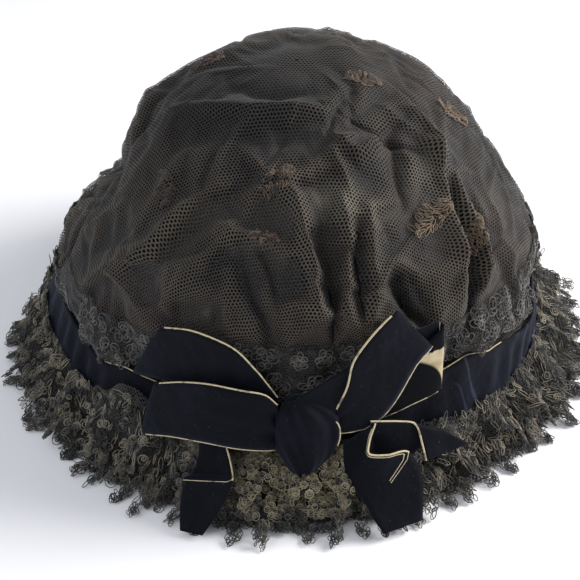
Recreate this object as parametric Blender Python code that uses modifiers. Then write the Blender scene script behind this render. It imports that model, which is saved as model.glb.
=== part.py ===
"""A nineteenth-century mourning bonnet, lying on its lace as it would on a table.

A puffed crown of black silk net stands over a dark lining. Its scalloped lace border laps over a
velvet ribbon band, a velvet bow with pale edges sits on the band at the front, and two gathered
lace ruffles spread out round the foot. Sizes are in millimetres until a point is made, +Z is up,
the origin is on the table under the middle of the crown, and the bow faces -Y.

A place on the crown is given by its azimuth in degrees, from the middle of the front (0) towards
the wearer's left (+X, positive), and by its slant: the angle in degrees from straight up, seen
from the crown's middle. A place on the band, the bow and the ruffles is given by its azimuth, its
distance from the upright axis and its height.
"""

from collections import namedtuple

import bmesh
import bpy
import numpy as np

MM = 0.001

# Crown of net and its lining
CROWN_HALF_WIDTH = 101.5
CROWN_HALF_DEPTH = 104.0
CROWN_RISE = 117.0
CROWN_MIDDLE_HEIGHT = 19.0
WAIST_RADIUS = 90.5
RIM_SLANT = 93.0
NET_WALL = 1.0
LINING_WALL = 1.0
CROWN_RINGS = 13
LINING_SEGMENTS = 36
LINING_RINGS = 9

# The net stands this far off the lining over the head, and lies on it behind the band
PUFF_GAP = 9.2
BAND_GAP = 4.6
BROAD_FOLD = 10.0

# The net's azimuths are close together where its folds are: span, then segments in it
NET_SPANS = ((-180.0, -24.0, 26), (-24.0, 72.0, 32), (72.0, 180.0, 18))

# The band grips the net this far inside its middle, and lets it swell above its top edge; below
# that edge the net tucks in to the waist within this many degrees of slant
BAND_GRIP = 1.3
BAND_PUFF = 16.0
BAND_TUCK = 9.0

# The bow presses the net in, over this range of azimuth, to this radius
BOW_PRESS_RADIUS = 91.8
BOW_PRESS_FROM, BOW_PRESS_TO, BOW_PRESS_FADE = -40.0, 36.0, 12.0
BOW_PRESS_TOP = 84.0

# Scalloped lace border that laps over the band
BORDER_WALL = 1.0
BORDER_GAP = 1.15
BORDER_SCALLOP = 1.5
BORDER_SCALLOPS = 30
BORDER_ROW_COUNT = 3
BORDER_RING = 8

# Velvet ribbon
RIBBON_WALL = 1.2
BAND_SEGMENTS = 60
BAND_RUCHE = 1.0
BAND_RUCHES = 15

# Knot of the bow, leaning back at the top
KNOT_AZIMUTH = 2.9
KNOT_HALF_TURN = 6.2
KNOT_RADIUS = 103.5
KNOT_HALF_DEPTH = 4.6
KNOT_LEAN = 3.2
KNOT_MIDDLE_HEIGHT = 38.5
KNOT_HALF_HEIGHT = 18.5

# Lace ruffles
RUFFLE_WALL = 1.5
RUFFLE_SEGMENTS = 88
RUFFLE_RADIUS = 126.0
UPPER_RUFFLE_RADIUS = 119.0
LOCK_NOTCH = 6.5
GATHERS = 22

Fold = namedtuple("Fold", "name path half_width rise")

# Each path is three or four places (azimuth, slant) that the fold passes. A rise above 0 stands
# out of the crown as a ridge, and one below 0 is a valley.
CROWN_FOLDS = (
    Fold("top ridge", ((-58, 20), (-33, 17), (-5, 15), (22, 16)), 7.0, 3.0),
    Fold("top valley", ((-50, 13), (-18, 11), (12, 10)), 6.0, -2.6),
    Fold("under the top ridge", ((-38, 24), (-12, 22), (8, 21)), 7.0, -2.0),
    Fold("left crease", ((-78, 42), (-91, 47), (-105, 54), (-118, 62), (-128, 72)), 13.0, -10.0),
    Fold("left shoulder", ((-152, 27), (-132, 31), (-116, 39), (-106, 47)), 20.0, -3.4),
    Fold("left edge ridge", ((-128, 22), (-110, 30), (-98, 38)), 5.5, 1.2),
    Fold("left crease foot", ((-82, 50), (-93, 58), (-103, 66)), 9.0, -4.0),
    Fold("left lower side", ((-116, 60), (-103, 65), (-94, 71), (-88, 78)), 12.0, -4.0),
    Fold("left slope ridge", ((-28, 33), (-37, 39), (-41, 48), (-47, 57)), 6.0, 3.9),
    Fold("left slope valley", ((-20, 35), (-28, 39), (-34, 45), (-38, 54)), 6.0, -3.1),
    Fold("left low ridge", ((-42, 50), (-50, 56), (-58, 63)), 7.0, 3.6),
    Fold("middle left ridge", ((-19, 41), (-25, 46), (-30, 52), (-33, 59)), 5.5, 3.3),
    Fold("front left valley", ((-14, 46), (-11, 52), (-7, 57), (-5, 66)), 5.0, -4.5),
    Fold("front ridge", ((-2, 30), (1, 38), (4, 46), (5, 56), (4, 68)), 5.0, 6.8),
    Fold("front valley", ((4, 34), (7, 42), (8.5, 50), (8.5, 58), (7.5, 67)), 5.0, -5.2),
    Fold("right of front ridge", ((16, 26), (16, 35), (14, 44), (12.5, 53), (12, 64)), 5.0, 5.2),
    Fold("right of front valley", ((19, 36), (16, 45), (15.5, 53), (15.5, 63)), 4.5, -4.5),
    Fold("slanting ridge", ((23, 36), (20, 45), (18, 54), (16, 61)), 5.0, 3.9),
    Fold("pocket", ((25, 52), (28, 57), (31, 62)), 6.5, -7.2),
    Fold("pocket hood", ((20, 53), (24, 48), (31, 50)), 4.5, 3.6),
    Fold("right shoulder dent", ((46, 25), (40, 31), (35, 38)), 6.0, -4.2),
    Fold("right shoulder ridge", ((20, 21), (26, 26), (38, 24)), 5.5, 3.3),
    Fold("tall ridge", ((68, 24), (57, 34), (48, 44), (44, 53), (40, 63)), 6.0, 6.3),
    Fold("tall valley", ((55, 36), (51, 44), (49, 52), (47, 59), (43, 66)), 4.5, -7.2),
    Fold("tongue ridge", ((58, 38), (55, 46), (54, 53), (50, 60)), 4.0, 4.5),
    Fold("beside the tongue", ((62, 44), (60, 51), (57, 59)), 4.5, -3.1),
    Fold("right low ridge", ((66, 52), (64, 60), (60, 69)), 6.0, 2.7),
    Fold("right shoulder", ((138, 31), (126, 36), (119, 40)), 11.0, 1.6),
    Fold("right flank dent", ((116, 46), (106, 48), (97, 46)), 8.0, -2.3),
    Fold("back left ridge", ((-120, 56), (-124, 66), (-126, 76)), 8.0, 4.5),
    Fold("back left valley", ((-136, 52), (-140, 64), (-141, 76)), 8.0, -5.2),
    Fold("back middle ridge", ((-158, 46), (-156, 60), (-157, 76)), 8.0, 4.5),
    Fold("back middle valley", ((-174, 48), (-173, 62), (-174, 76)), 8.0, -5.2),
    Fold("back right ridge", ((166, 44), (169, 60), (168, 76)), 8.0, 4.8),
    Fold("back right valley", ((150, 50), (152, 62), (151, 76)), 8.0, -5.2),
    Fold("right back ridge", ((132, 52), (134, 64), (133, 76)), 8.0, 4.2),
    Fold("right back valley", ((116, 54), (115, 66), (116, 76)), 8.0, -4.5),
)

Station = namedtuple("Station", "azimuth radius height azimuth_2 radius_2 height_2")

# Along each ribbon: its upper (or left) selvedge, then its lower (or right) one
LEFT_UPPER_LOOP = (
    Station(-4.2, 98.3, 50.0, -4.2, 98.6, 38.3),
    Station(-6.4, 98.6, 56.4, -6.8, 99.0, 41.0),
    Station(-9.0, 98.7, 63.0, -9.5, 99.2, 43.0),
    Station(-14.0, 98.3, 71.5, -15.0, 99.3, 47.5),
    Station(-23.0, 96.8, 74.0, -24.5, 99.0, 50.0),
    Station(-31.0, 95.6, 70.0, -38.0, 98.6, 44.0),
    Station(-31.5, 94.4, 69.0, -38.5, 96.6, 43.0),
    Station(-24.0, 94.8, 70.0, -26.0, 95.8, 46.5),
    Station(-14.0, 95.4, 66.0, -15.0, 95.8, 44.5),
    Station(-5.6, 95.8, 50.0, -5.6, 96.0, 39.0),
)
LEFT_LOWER_LOOP = (
    Station(-4.0, 102.6, 50.2, -4.2, 104.8, 29.8),
    Station(-6.5, 103.8, 55.5, -7.0, 108.0, 32.0),
    Station(-11.0, 104.5, 57.0, -11.5, 109.0, 32.5),
    Station(-18.0, 104.0, 57.0, -19.0, 108.5, 32.0),
    Station(-24.5, 102.8, 53.5, -26.5, 107.4, 29.0),
    Station(-31.0, 101.6, 47.5, -33.5, 106.2, 23.5),
    Station(-31.5, 100.0, 47.0, -34.0, 103.6, 23.0),
    Station(-24.5, 100.8, 50.0, -26.5, 104.4, 27.0),
    Station(-14.0, 101.4, 53.0, -14.5, 104.8, 29.0),
    Station(-5.6, 101.0, 48.5, -5.6, 102.4, 29.5),
)
RIGHT_LOOP = (
    Station(9.7, 102.2, 48.4, 9.9, 103.0, 36.2),
    Station(10.6, 102.0, 57.0, 15.0, 103.6, 36.8),
    Station(11.6, 100.4, 66.0, 18.8, 103.4, 42.5),
    Station(13.8, 98.9, 71.6, 22.3, 102.2, 50.2),
    Station(17.4, 96.9, 77.2, 26.0, 100.4, 59.0),
    Station(21.3, 95.4, 81.4, 29.8, 98.9, 63.0),
    Station(23.4, 94.2, 81.2, 31.4, 97.0, 61.9),
    Station(28.0, 94.8, 76.7, 31.8, 97.0, 52.5),
    Station(33.2, 95.4, 71.0, 33.0, 98.6, 44.0),
    Station(33.0, 96.8, 68.4, 31.6, 100.2, 42.3),
    Station(26.0, 96.6, 61.0, 25.6, 100.0, 40.4),
    Station(18.0, 97.6, 54.6, 21.0, 100.2, 38.8),
    Station(10.8, 98.8, 48.0, 12.2, 100.2, 36.4),
)
LEFT_TAIL = (
    Station(-20.2, 105.9, 30.0, -14.6, 106.1, 30.6),
    Station(-20.2, 107.6, 23.5, -13.4, 108.8, 26.5),
    Station(-20.6, 112.2, 19.2, -12.4, 112.6, 23.2),
    Station(-21.3, 116.2, 19.4, -12.0, 115.6, 23.0),
    Station(-21.3, 118.0, 16.4, -12.2, 117.6, 19.4),
    Station(-20.7, 122.0, 10.0, -13.1, 121.0, 13.4),
    Station(-19.6, 124.2, 5.6, -15.0, 124.2, 6.2),
)
RIGHT_LONG_TAIL = (
    Station(16.0, 104.9, 40.0, 9.4, 104.8, 32.0),
    Station(14.2, 108.2, 34.6, 9.4, 108.2, 23.6),
    Station(13.6, 112.4, 32.2, 10.2, 113.0, 18.6),
    Station(17.0, 113.8, 31.0, 12.2, 116.6, 14.8),
    Station(21.6, 113.6, 29.6, 15.0, 119.4, 11.6),
    Station(23.8, 116.4, 21.0, 17.0, 122.0, 8.6),
    Station(24.4, 120.0, 12.6, 18.6, 124.0, 6.2),
)
RIGHT_SHORT_TAIL = (
    Station(17.4, 104.6, 39.7, 18.0, 106.8, 30.0),
    Station(21.4, 106.0, 38.6, 23.0, 108.6, 29.0),
    Station(24.4, 107.2, 36.2, 28.4, 109.0, 31.6),
    Station(25.0, 110.6, 29.4, 31.6, 112.0, 29.0),
    Station(24.9, 114.6, 24.0, 34.4, 115.2, 24.6),
)

BandRow = namedtuple("BandRow", "azimuth top_radius top_height foot_radius foot_height")

# The band stands upright behind the bow and leans outwards at the sides
BAND_ROWS = (
    BandRow(-180, 96.4, 39.0, 100.0, 16.5),
    BandRow(-135, 97.0, 39.0, 102.0, 17.5),
    BandRow(-104, 98.2, 39.0, 107.5, 20.0),
    BandRow(-84, 98.4, 40.0, 105.0, 21.5),
    BandRow(-66, 98.0, 41.0, 102.4, 20.5),
    BandRow(-52, 97.6, 37.0, 101.4, 19.0),
    BandRow(-42, 95.8, 40.5, 100.0, 18.0),
    BandRow(-32, 93.2, 39.0, 96.0, 17.0),
    BandRow(-12, 92.6, 37.5, 94.6, 16.5),
    BandRow(12, 92.6, 37.5, 94.6, 16.5),
    BandRow(28, 93.2, 40.0, 96.0, 17.0),
    BandRow(36, 94.4, 45.0, 98.6, 21.0),
    BandRow(42, 96.0, 47.5, 100.4, 21.0),
    BandRow(50, 98.2, 44.0, 101.2, 20.5),
    BandRow(66, 102.0, 41.0, 102.4, 20.5),
    BandRow(82, 98.4, 39.5, 101.6, 18.5),
    BandRow(135, 97.0, 39.0, 101.0, 17.5),
    BandRow(180, 96.4, 39.0, 100.0, 16.5),
)

BorderRow = namedtuple("BorderRow", "azimuth top_slant bottom_slant")

BORDER_ROWS = (
    BorderRow(-180, 64.5, 76.0),
    BorderRow(-84, 64.5, 76.0),
    BorderRow(-66, 65.0, 75.6),
    BorderRow(-52, 65.5, 77.6),
    BorderRow(-42, 65.5, 75.6),
    BorderRow(-16, 60.5, 71.5),
    BorderRow(-2, 61.5, 73.0),
    BorderRow(12, 61.5, 71.0),
    BorderRow(34, 64.0, 72.8),
    BorderRow(42, 63.0, 71.6),
    BorderRow(50, 63.5, 73.6),
    BorderRow(66, 64.5, 75.4),
    BorderRow(82, 65.0, 76.4),
    BorderRow(180, 64.5, 76.0),
)

RuffleRow = namedtuple("RuffleRow", "share height wave")

# From the foot of the band (share 0) to the ruffle's own edge (share 1)
UPPER_RUFFLE = (
    RuffleRow(-0.12, 11.6, 0.0),
    RuffleRow(0.24, 17.6, 0.8),
    RuffleRow(0.55, 13.4, 2.0),
    RuffleRow(1.00, 7.6, 2.4),
)

SectionRow = namedtuple("SectionRow", "radius height wave notch")

# Once round the lower ruffle's section: its underside, flat on the table at the edge, then its top
LOWER_RUFFLE = (
    SectionRow(93.0, 8.8, 0.0, 0.0),
    SectionRow(106.0, 7.6, 0.6, 0.0),
    SectionRow(118.0, 0.0, 0.0, 0.0),
    SectionRow(RUFFLE_RADIUS, 0.0, 0.0, LOCK_NOTCH),
    SectionRow(RUFFLE_RADIUS, 1.5, 1.0, LOCK_NOTCH),
    SectionRow(118.0, 2.6, 1.2, 0.0),
    SectionRow(106.0, 9.2, 0.8, 0.0),
    SectionRow(93.0, 10.4, 0.0, 0.0),
)

NET_COLOR = (0.045, 0.040, 0.034, 1.0)
LINING_COLOR = (0.010, 0.011, 0.014, 1.0)
LACE_COLOR = (0.040, 0.036, 0.026, 1.0)
VELVET_COLOR = (0.006, 0.008, 0.018, 1.0)


def make_material(name, color, roughness):
    material = bpy.data.materials.new(name)
    material.use_nodes = True
    shader = material.node_tree.nodes["Principled BSDF"]
    shader.inputs["Base Color"].default_value = color
    shader.inputs["Roughness"].default_value = roughness
    shader.inputs["Metallic"].default_value = 0.0
    return material


def smooth_step(low, high, value):
    t = np.clip((value - low) / (high - low), 0.0, 1.0)
    return t * t * (3.0 - 2.0 * t)


def spline(rows, steps):
    """Points of a Catmull-Rom curve through the rows, with this many steps from one to the next."""
    rows = np.asarray(rows, float)
    ends = np.vstack([2 * rows[0] - rows[1], rows, 2 * rows[-1] - rows[-2]])
    points = []
    for before, start, end, after in zip(ends, ends[1:], ends[2:], ends[3:]):
        for step in range(steps):
            t = step / steps
            points.append(
                0.5
                * (
                    2 * start
                    + (end - before) * t
                    + (2 * before - 5 * start + 4 * end - after) * t**2
                    + (3 * start - before - 3 * end + after) * t**3
                )
            )
    points.append(rows[-1])
    return np.array(points)


def around(azimuth, radius, height):
    """A point at this azimuth in degrees, distance from the axis and height."""
    angle = np.radians(azimuth)
    return np.stack(
        np.broadcast_arrays(radius * np.sin(angle), -radius * np.cos(angle), height), axis=-1
    )


def slant_direction(azimuth, slant):
    angle, tilt = np.radians(azimuth), np.radians(slant)
    return np.stack(
        np.broadcast_arrays(
            np.sin(tilt) * np.sin(angle), -np.sin(tilt) * np.cos(angle), np.cos(tilt)
        ),
        axis=-1,
    )


def plain_reach(azimuth, slant):
    """How far the unfolded puff reaches from the crown's middle: an egg, tucked in at the band."""
    direction = slant_direction(azimuth, slant)
    half_sizes = np.array([CROWN_HALF_WIDTH, CROWN_HALF_DEPTH, CROWN_RISE])
    egg = 1.0 / np.linalg.norm(direction / half_sizes, axis=-1)
    top_radius, top_height = table_at(BAND_ROWS, azimuth)[:2]
    start = np.degrees(np.arctan2(top_radius, top_height - CROWN_MIDDLE_HEIGHT))
    waist = WAIST_RADIUS / np.maximum(np.sin(np.radians(slant)), 0.5)
    tucked = smooth_step(start, start + BAND_TUCK, slant)
    return egg + (waist - egg) * tucked


def crown_middle():
    return np.array([0.0, 0.0, CROWN_MIDDLE_HEIGHT])


def fold_relief(azimuth, slant, folds):
    """The sum of these folds' rises at a place on the crown."""
    place = slant_direction(azimuth, slant) * plain_reach(azimuth, slant)[..., None]
    relief = np.zeros(place.shape[:-1])
    for fold in folds:
        route = spline(fold.path, 4)
        reach = plain_reach(route[:, 0], route[:, 1])
        line = slant_direction(route[:, 0], route[:, 1]) * reach[:, None]
        nearest = np.full(relief.shape, np.inf)
        along = np.zeros(relief.shape)
        for index, (start, end) in enumerate(zip(line, line[1:])):
            span = end - start
            t = np.clip(((place - start) @ span) / (span @ span), 0.0, 1.0)
            gap = np.linalg.norm(place - start - t[..., None] * span, axis=-1)
            closer = gap < nearest
            nearest = np.where(closer, gap, nearest)
            along = np.where(closer, (index + t) / (len(line) - 1), along)
        fade = 0.35 + 0.65 * np.sin(np.pi * np.clip(along, 0.02, 0.98)) ** 0.6
        relief += fold.rise * fade * np.exp(-((nearest / fold.half_width) ** 2))
    at_the_rim = 1.0 - smooth_step(72.0, 84.0, slant)
    return relief * at_the_rim


def pressed_by_bow(azimuth, slant, reach):
    """The reach where the bow's loops flatten the puff, and unchanged elsewhere."""
    side = smooth_step(BOW_PRESS_FROM - BOW_PRESS_FADE, BOW_PRESS_FROM, azimuth) * (
        1.0 - smooth_step(BOW_PRESS_TO, BOW_PRESS_TO + BOW_PRESS_FADE, azimuth)
    )
    sine = np.maximum(np.sin(np.radians(slant)), 0.2)
    height = CROWN_MIDDLE_HEIGHT + reach * np.cos(np.radians(slant))
    low = 1.0 - smooth_step(BOW_PRESS_TOP - 6.0, BOW_PRESS_TOP + 6.0, height)
    allowed = BOW_PRESS_RADIUS / sine
    return np.where(reach > allowed, reach + (allowed - reach) * side * low, reach)


def held_by_band(azimuth, slant, reach):
    """The reach where the band grips the net, and unchanged well above the band."""
    top_radius, top_height = table_at(BAND_ROWS, azimuth)[:2]
    height = CROWN_MIDDLE_HEIGHT + reach * np.cos(np.radians(slant))
    low = 1.0 - smooth_step(top_height + 1.0, top_height + BAND_PUFF, height)
    allowed = (top_radius - BAND_GRIP) / np.maximum(np.sin(np.radians(slant)), 0.2)
    return np.where(reach > allowed, reach + (allowed - reach) * low, reach)


def crown_point(azimuth, slant, inwards=0.0, folds=CROWN_FOLDS):
    """A point of the folded net, or of a layer this far inside it."""
    azimuth, slant = np.broadcast_arrays(np.asarray(azimuth, float), np.asarray(slant, float))
    reach = plain_reach(azimuth, slant) + fold_relief(azimuth, slant, folds)
    reach = held_by_band(azimuth, slant, pressed_by_bow(azimuth, slant, reach))
    return crown_middle() + slant_direction(azimuth, slant) * (reach - inwards)[..., None]


def lining_point(azimuth, slant):
    """A point of the lining, which follows only the broad dents of the net."""
    broad = [fold for fold in CROWN_FOLDS if fold.half_width > BROAD_FOLD]
    gap = PUFF_GAP + (BAND_GAP - PUFF_GAP) * smooth_step(66.0, 82.0, slant)
    return crown_point(azimuth, slant, gap, broad)


def finish_object(name, mesh_data, material, collection):
    mesh = bpy.data.meshes.new(name)
    mesh_data.normal_update()
    mesh_data.to_mesh(mesh)
    mesh_data.free()
    mesh.shade_smooth()
    mesh.materials.append(material)
    obj = bpy.data.objects.new(name, mesh)
    collection.objects.link(obj)
    return obj


def add_wall(obj, thickness, offset, even=True):
    wall = obj.modifiers.new("Wall", "SOLIDIFY")
    wall.thickness = thickness * MM
    wall.offset = offset
    wall.use_even_offset = even


def net_azimuth(index):
    """The azimuth of the net's segment with this number, counted from the back round the left."""
    counts = np.cumsum([0] + [segments for _, _, segments in NET_SPANS])
    return np.interp(index, counts, [NET_SPANS[0][0]] + [end for _, end, _ in NET_SPANS])


def build_dome(name, segments, rings, place, thickness, material, collection):
    """A layer of the crown: the top half of a sphere, its points placed, and given a wall."""
    shape = bmesh.new()
    bmesh.ops.create_uvsphere(shape, u_segments=segments, v_segments=2 * rings, radius=1.0)
    lower = [vertex for vertex in shape.verts if vertex.co.z < -1e-4]
    bmesh.ops.delete(shape, geom=lower, context="VERTS")
    unit = np.array([vertex.co for vertex in shape.verts], float)
    ring = np.degrees(np.arccos(np.clip(unit[:, 2], -1.0, 1.0))) / 90.0 * rings
    turn = (np.degrees(np.arctan2(unit[:, 0], -unit[:, 1])) + 180.0) / 360.0
    for vertex, point in zip(shape.verts, place(turn * segments, np.round(ring)) * MM):
        vertex.co = point
    obj = finish_object(name, shape, material, collection)
    add_wall(obj, thickness, -1.0)
    return obj


def net_place(index, ring):
    return crown_point(net_azimuth(index), ring / CROWN_RINGS * RIM_SLANT)


def lining_place(index, ring):
    azimuth = index / LINING_SEGMENTS * 360.0 - 180.0
    return lining_point(azimuth, ring / LINING_RINGS * RIM_SLANT)


def build_ring(name, segments, rows, place, thickness, material, collection):
    """A ring of cloth: a grid whose sides meet, placed by azimuth and share of its width.

    A ring with no thickness given is a closed section already and gets no wall.
    """
    shape = bmesh.new()
    bmesh.ops.create_grid(shape, x_segments=segments, y_segments=rows, size=0.5)
    places = np.array([vertex.co for vertex in shape.verts], float)
    azimuth = -180.0 + 360.0 * (places[:, 0] + 0.5)
    across = places[:, 1] + 0.5
    for vertex, point in zip(shape.verts, place(azimuth, across) * MM):
        vertex.co = point
    bmesh.ops.remove_doubles(shape, verts=shape.verts, dist=1e-6)
    bmesh.ops.recalc_face_normals(shape, faces=shape.faces)
    obj = finish_object(name, shape, material, collection)
    if thickness:
        add_wall(obj, thickness, 0.0)
    return obj


def build_ribbon(name, stations, material, collection, steps=2, across=2):
    """A length of ribbon through its stations, each with two selvedges."""
    first = spline([around(s.azimuth, s.radius, s.height) for s in stations], steps)
    second = spline([around(s.azimuth_2, s.radius_2, s.height_2) for s in stations], steps)
    shape = bmesh.new()
    bmesh.ops.create_grid(shape, x_segments=len(first) - 1, y_segments=across, size=0.5)
    for vertex in shape.verts:
        index = round((vertex.co.x + 0.5) * (len(first) - 1))
        share = vertex.co.y + 0.5
        vertex.co = (first[index] * (1.0 - share) + second[index] * share) * MM
    obj = finish_object(name, shape, material, collection)
    add_wall(obj, RIBBON_WALL, 0.0, even=False)
    return obj


def table_at(rows, azimuth):
    """The columns of a table read at any azimuth, with smooth steps between its rows."""
    rows = np.array(rows, float)
    values = []
    for column in rows.T[1:]:
        upper = np.clip(np.searchsorted(rows[:, 0], azimuth), 1, len(rows) - 1)
        share = smooth_step(rows[upper - 1, 0], rows[upper, 0], azimuth)
        values.append(column[upper - 1] + (column[upper] - column[upper - 1]) * share)
    return values


def band_place(azimuth, across):
    top_radius, top_height, foot_radius, foot_height = table_at(BAND_ROWS, azimuth)
    beside_the_bow = smooth_step(40.0, 60.0, np.abs(azimuth))
    ruche = BAND_RUCHE * np.sin(np.radians(azimuth) * BAND_RUCHES) * across * beside_the_bow
    radius = top_radius + (foot_radius - top_radius) * across + ruche
    height = top_height + (foot_height - top_height) * across
    return around(azimuth, radius, height)


def over_net_facets(azimuth, slant, outwards):
    """A point this far outside the flat facets between the net's rings."""
    ring_step = RIM_SLANT / CROWN_RINGS
    ring = np.floor(slant / ring_step)
    share = (slant / ring_step - ring)[..., None]
    upper = crown_point(azimuth, ring * ring_step, -outwards)
    lower = crown_point(azimuth, (ring + 1) * ring_step, -outwards)
    return upper * (1.0 - share) + lower * share


def border_place(azimuth, across):
    """The border stands on the net's segments, and bends where the net's rings bend."""
    segments = sum(span[2] for span in NET_SPANS)
    azimuth = net_azimuth((azimuth + 180.0) / 360.0 * segments)
    top_slant, bottom_slant = table_at(BORDER_ROWS, azimuth)
    scallop = BORDER_SCALLOP * np.abs(np.sin(np.radians(azimuth) * BORDER_SCALLOPS / 2))
    width = bottom_slant - scallop - top_slant
    row = np.round(across * BORDER_ROW_COUNT)
    ring_slant = (row + BORDER_RING) * RIM_SLANT / CROWN_RINGS
    slant = np.clip(ring_slant, top_slant + 0.15 * row * width, bottom_slant - scallop - 0.2 * width)
    slant = np.where(row == 0, top_slant, slant)
    slant = np.where(row == BORDER_ROW_COUNT, bottom_slant - scallop, slant)
    return over_net_facets(azimuth, slant, BORDER_GAP + BORDER_WALL / 2)


def gather(azimuth):
    """The rise and fall of the gathered lace, from 0 to 1."""
    return 0.5 + 0.5 * np.cos(np.radians(azimuth) * GATHERS)


def between_locks(azimuth):
    """1 at every second segment of a ruffle, where its edge is cut back, and 0 at a lock's tip."""
    return np.round((azimuth + 180.0) / 360.0 * RUFFLE_SEGMENTS).astype(int) % 2


def upper_ruffle_place(azimuth, across):
    shares, heights, waves = np.array(UPPER_RUFFLE, float).T
    steps = np.arange(len(shares))
    step = across * steps[-1]
    foot_radius = table_at(BAND_ROWS, azimuth)[2]
    share = np.interp(step, steps, shares)
    notch = LOCK_NOTCH * between_locks(azimuth) * smooth_step(0.7, 1.0, across)
    radius = foot_radius + (UPPER_RUFFLE_RADIUS - foot_radius) * share - notch
    height = np.interp(step, steps, heights) + np.interp(step, steps, waves) * gather(azimuth)
    return around(azimuth, radius, height)


def lower_ruffle_place(azimuth, across):
    rows = np.array(LOWER_RUFFLE, float)
    radius, height, wave, notch = rows[np.round(across * len(rows)).astype(int) % len(rows)].T
    return around(
        azimuth, radius - notch * between_locks(azimuth), height + wave * gather(azimuth)
    )


def build_knot(material, collection):
    """The knot: a cushion of pulled velvet, wider and further out at its foot."""
    shape = bmesh.new()
    bmesh.ops.create_cube(shape, size=2.0)
    bmesh.ops.subdivide_edges(shape, edges=shape.edges, cuts=2, use_grid_fill=True)
    for vertex in shape.verts:
        side, out, up = vertex.co.x, -vertex.co.y, vertex.co.z
        azimuth = KNOT_AZIMUTH + KNOT_HALF_TURN * side * (1.0 + 0.05 * up)
        radius = KNOT_RADIUS + KNOT_HALF_DEPTH * out - KNOT_LEAN * up
        height = KNOT_MIDDLE_HEIGHT + KNOT_HALF_HEIGHT * up
        vertex.co = around(azimuth, radius, height) * MM
    obj = finish_object("bow_knot", shape, material, collection)
    rounded = obj.modifiers.new("Rounded", "SUBSURF")
    rounded.levels = 1
    rounded.render_levels = 1
    return obj


def main():
    for obj in list(bpy.data.objects):
        bpy.data.objects.remove(obj, do_unlink=True)
    bonnet = bpy.data.collections.new("mourning_bonnet")
    bpy.context.scene.collection.children.link(bonnet)

    net = make_material("silk_net", NET_COLOR, 0.6)
    lining = make_material("dark_lining", LINING_COLOR, 0.8)
    lace = make_material("black_lace", LACE_COLOR, 0.75)
    velvet = make_material("silk_velvet", VELVET_COLOR, 0.85)

    turns = sum(span[2] for span in NET_SPANS)
    build_dome("crown_net", turns, CROWN_RINGS, net_place, NET_WALL, net, bonnet)
    build_dome(
        "crown_lining", LINING_SEGMENTS, LINING_RINGS, lining_place, LINING_WALL, lining, bonnet
    )
    build_ring(
        "crown_lace_border", turns, BORDER_ROW_COUNT, border_place, BORDER_WALL, lace, bonnet
    )
    build_ring("ribbon_band", BAND_SEGMENTS, 2, band_place, RIBBON_WALL, velvet, bonnet)

    build_knot(velvet, bonnet)
    build_ribbon("bow_loop_left_upper", LEFT_UPPER_LOOP, velvet, bonnet)
    build_ribbon("bow_loop_left_lower", LEFT_LOWER_LOOP, velvet, bonnet)
    build_ribbon("bow_loop_right", RIGHT_LOOP, velvet, bonnet)
    build_ribbon("bow_tail_left", LEFT_TAIL, velvet, bonnet)
    build_ribbon("bow_tail_right_long", RIGHT_LONG_TAIL, velvet, bonnet)
    build_ribbon("bow_tail_right_short", RIGHT_SHORT_TAIL, velvet, bonnet)

    segments = RUFFLE_SEGMENTS
    build_ring("lace_ruffle_upper", segments, 3, upper_ruffle_place, RUFFLE_WALL, lace, bonnet)
    build_ring("lace_ruffle_lower", segments, 8, lower_ruffle_place, 0.0, lace, bonnet)


main()
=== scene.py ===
# %% [markdown]
# # A mourning bonnet of net, lace and velvet
#
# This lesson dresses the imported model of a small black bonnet. The solids give the main places
# and sizes; here they get their cloth: a puffed crown of hexagon net over a dark lining, a
# scalloped lace border, a velvet bow with cream edges, and a gathered lace ruffle. Lengths in
# the tables are millimetres, and angles are degrees.

from collections import namedtuple

import bpy
import numpy as np
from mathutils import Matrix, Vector
from mathutils.bvhtree import BVHTree


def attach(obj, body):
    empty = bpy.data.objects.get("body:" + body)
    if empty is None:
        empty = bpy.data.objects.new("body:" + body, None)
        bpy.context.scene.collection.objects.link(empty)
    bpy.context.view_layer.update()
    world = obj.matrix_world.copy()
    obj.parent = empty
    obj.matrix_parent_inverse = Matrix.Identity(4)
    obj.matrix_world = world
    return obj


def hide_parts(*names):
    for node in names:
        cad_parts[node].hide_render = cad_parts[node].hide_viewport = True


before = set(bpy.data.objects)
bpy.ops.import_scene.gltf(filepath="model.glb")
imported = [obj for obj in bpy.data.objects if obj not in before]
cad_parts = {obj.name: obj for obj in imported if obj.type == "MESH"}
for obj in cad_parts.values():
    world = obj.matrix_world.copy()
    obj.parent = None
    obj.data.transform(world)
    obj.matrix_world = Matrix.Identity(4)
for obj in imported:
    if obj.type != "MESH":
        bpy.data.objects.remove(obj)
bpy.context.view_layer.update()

# %% [markdown]
# ## The camera, the floor and the light
#
# The camera's place and lens were fitted to the photograph: it looks down at 37.5 degrees. The
# light is a large soft panel at the upper right and a weaker one at the left, with a pale sky
# and a pale floor around them.

# %% Camera, floor and light
MM = 0.001
LAMP_TARGET = Vector((0.0, 0.0, 0.05))


def new_object(name, data):
    obj = bpy.data.objects.new(name, data)
    bpy.context.scene.collection.objects.link(obj)
    return obj


def add_lamp(name, place, size, power, tint):
    lamp = bpy.data.lights.new(name, "AREA")
    lamp.size = size
    lamp.energy = power
    lamp.color = tint
    obj = new_object(name, lamp)
    obj.location = place
    obj.rotation_euler = (LAMP_TARGET - Vector(place)).to_track_quat("-Z", "Y").to_euler()


def add_camera():
    lens = bpy.data.cameras.new("photo_camera")
    lens.sensor_width = 36.0
    lens.lens = 100.1
    lens.clip_start = 0.01
    camera = new_object("photo_camera", lens)
    camera.location = (-0.0026, -0.5443, 0.4424)
    camera.rotation_euler = (np.radians(52.5), 0.0, 0.0)
    bpy.context.scene.camera = camera


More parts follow.
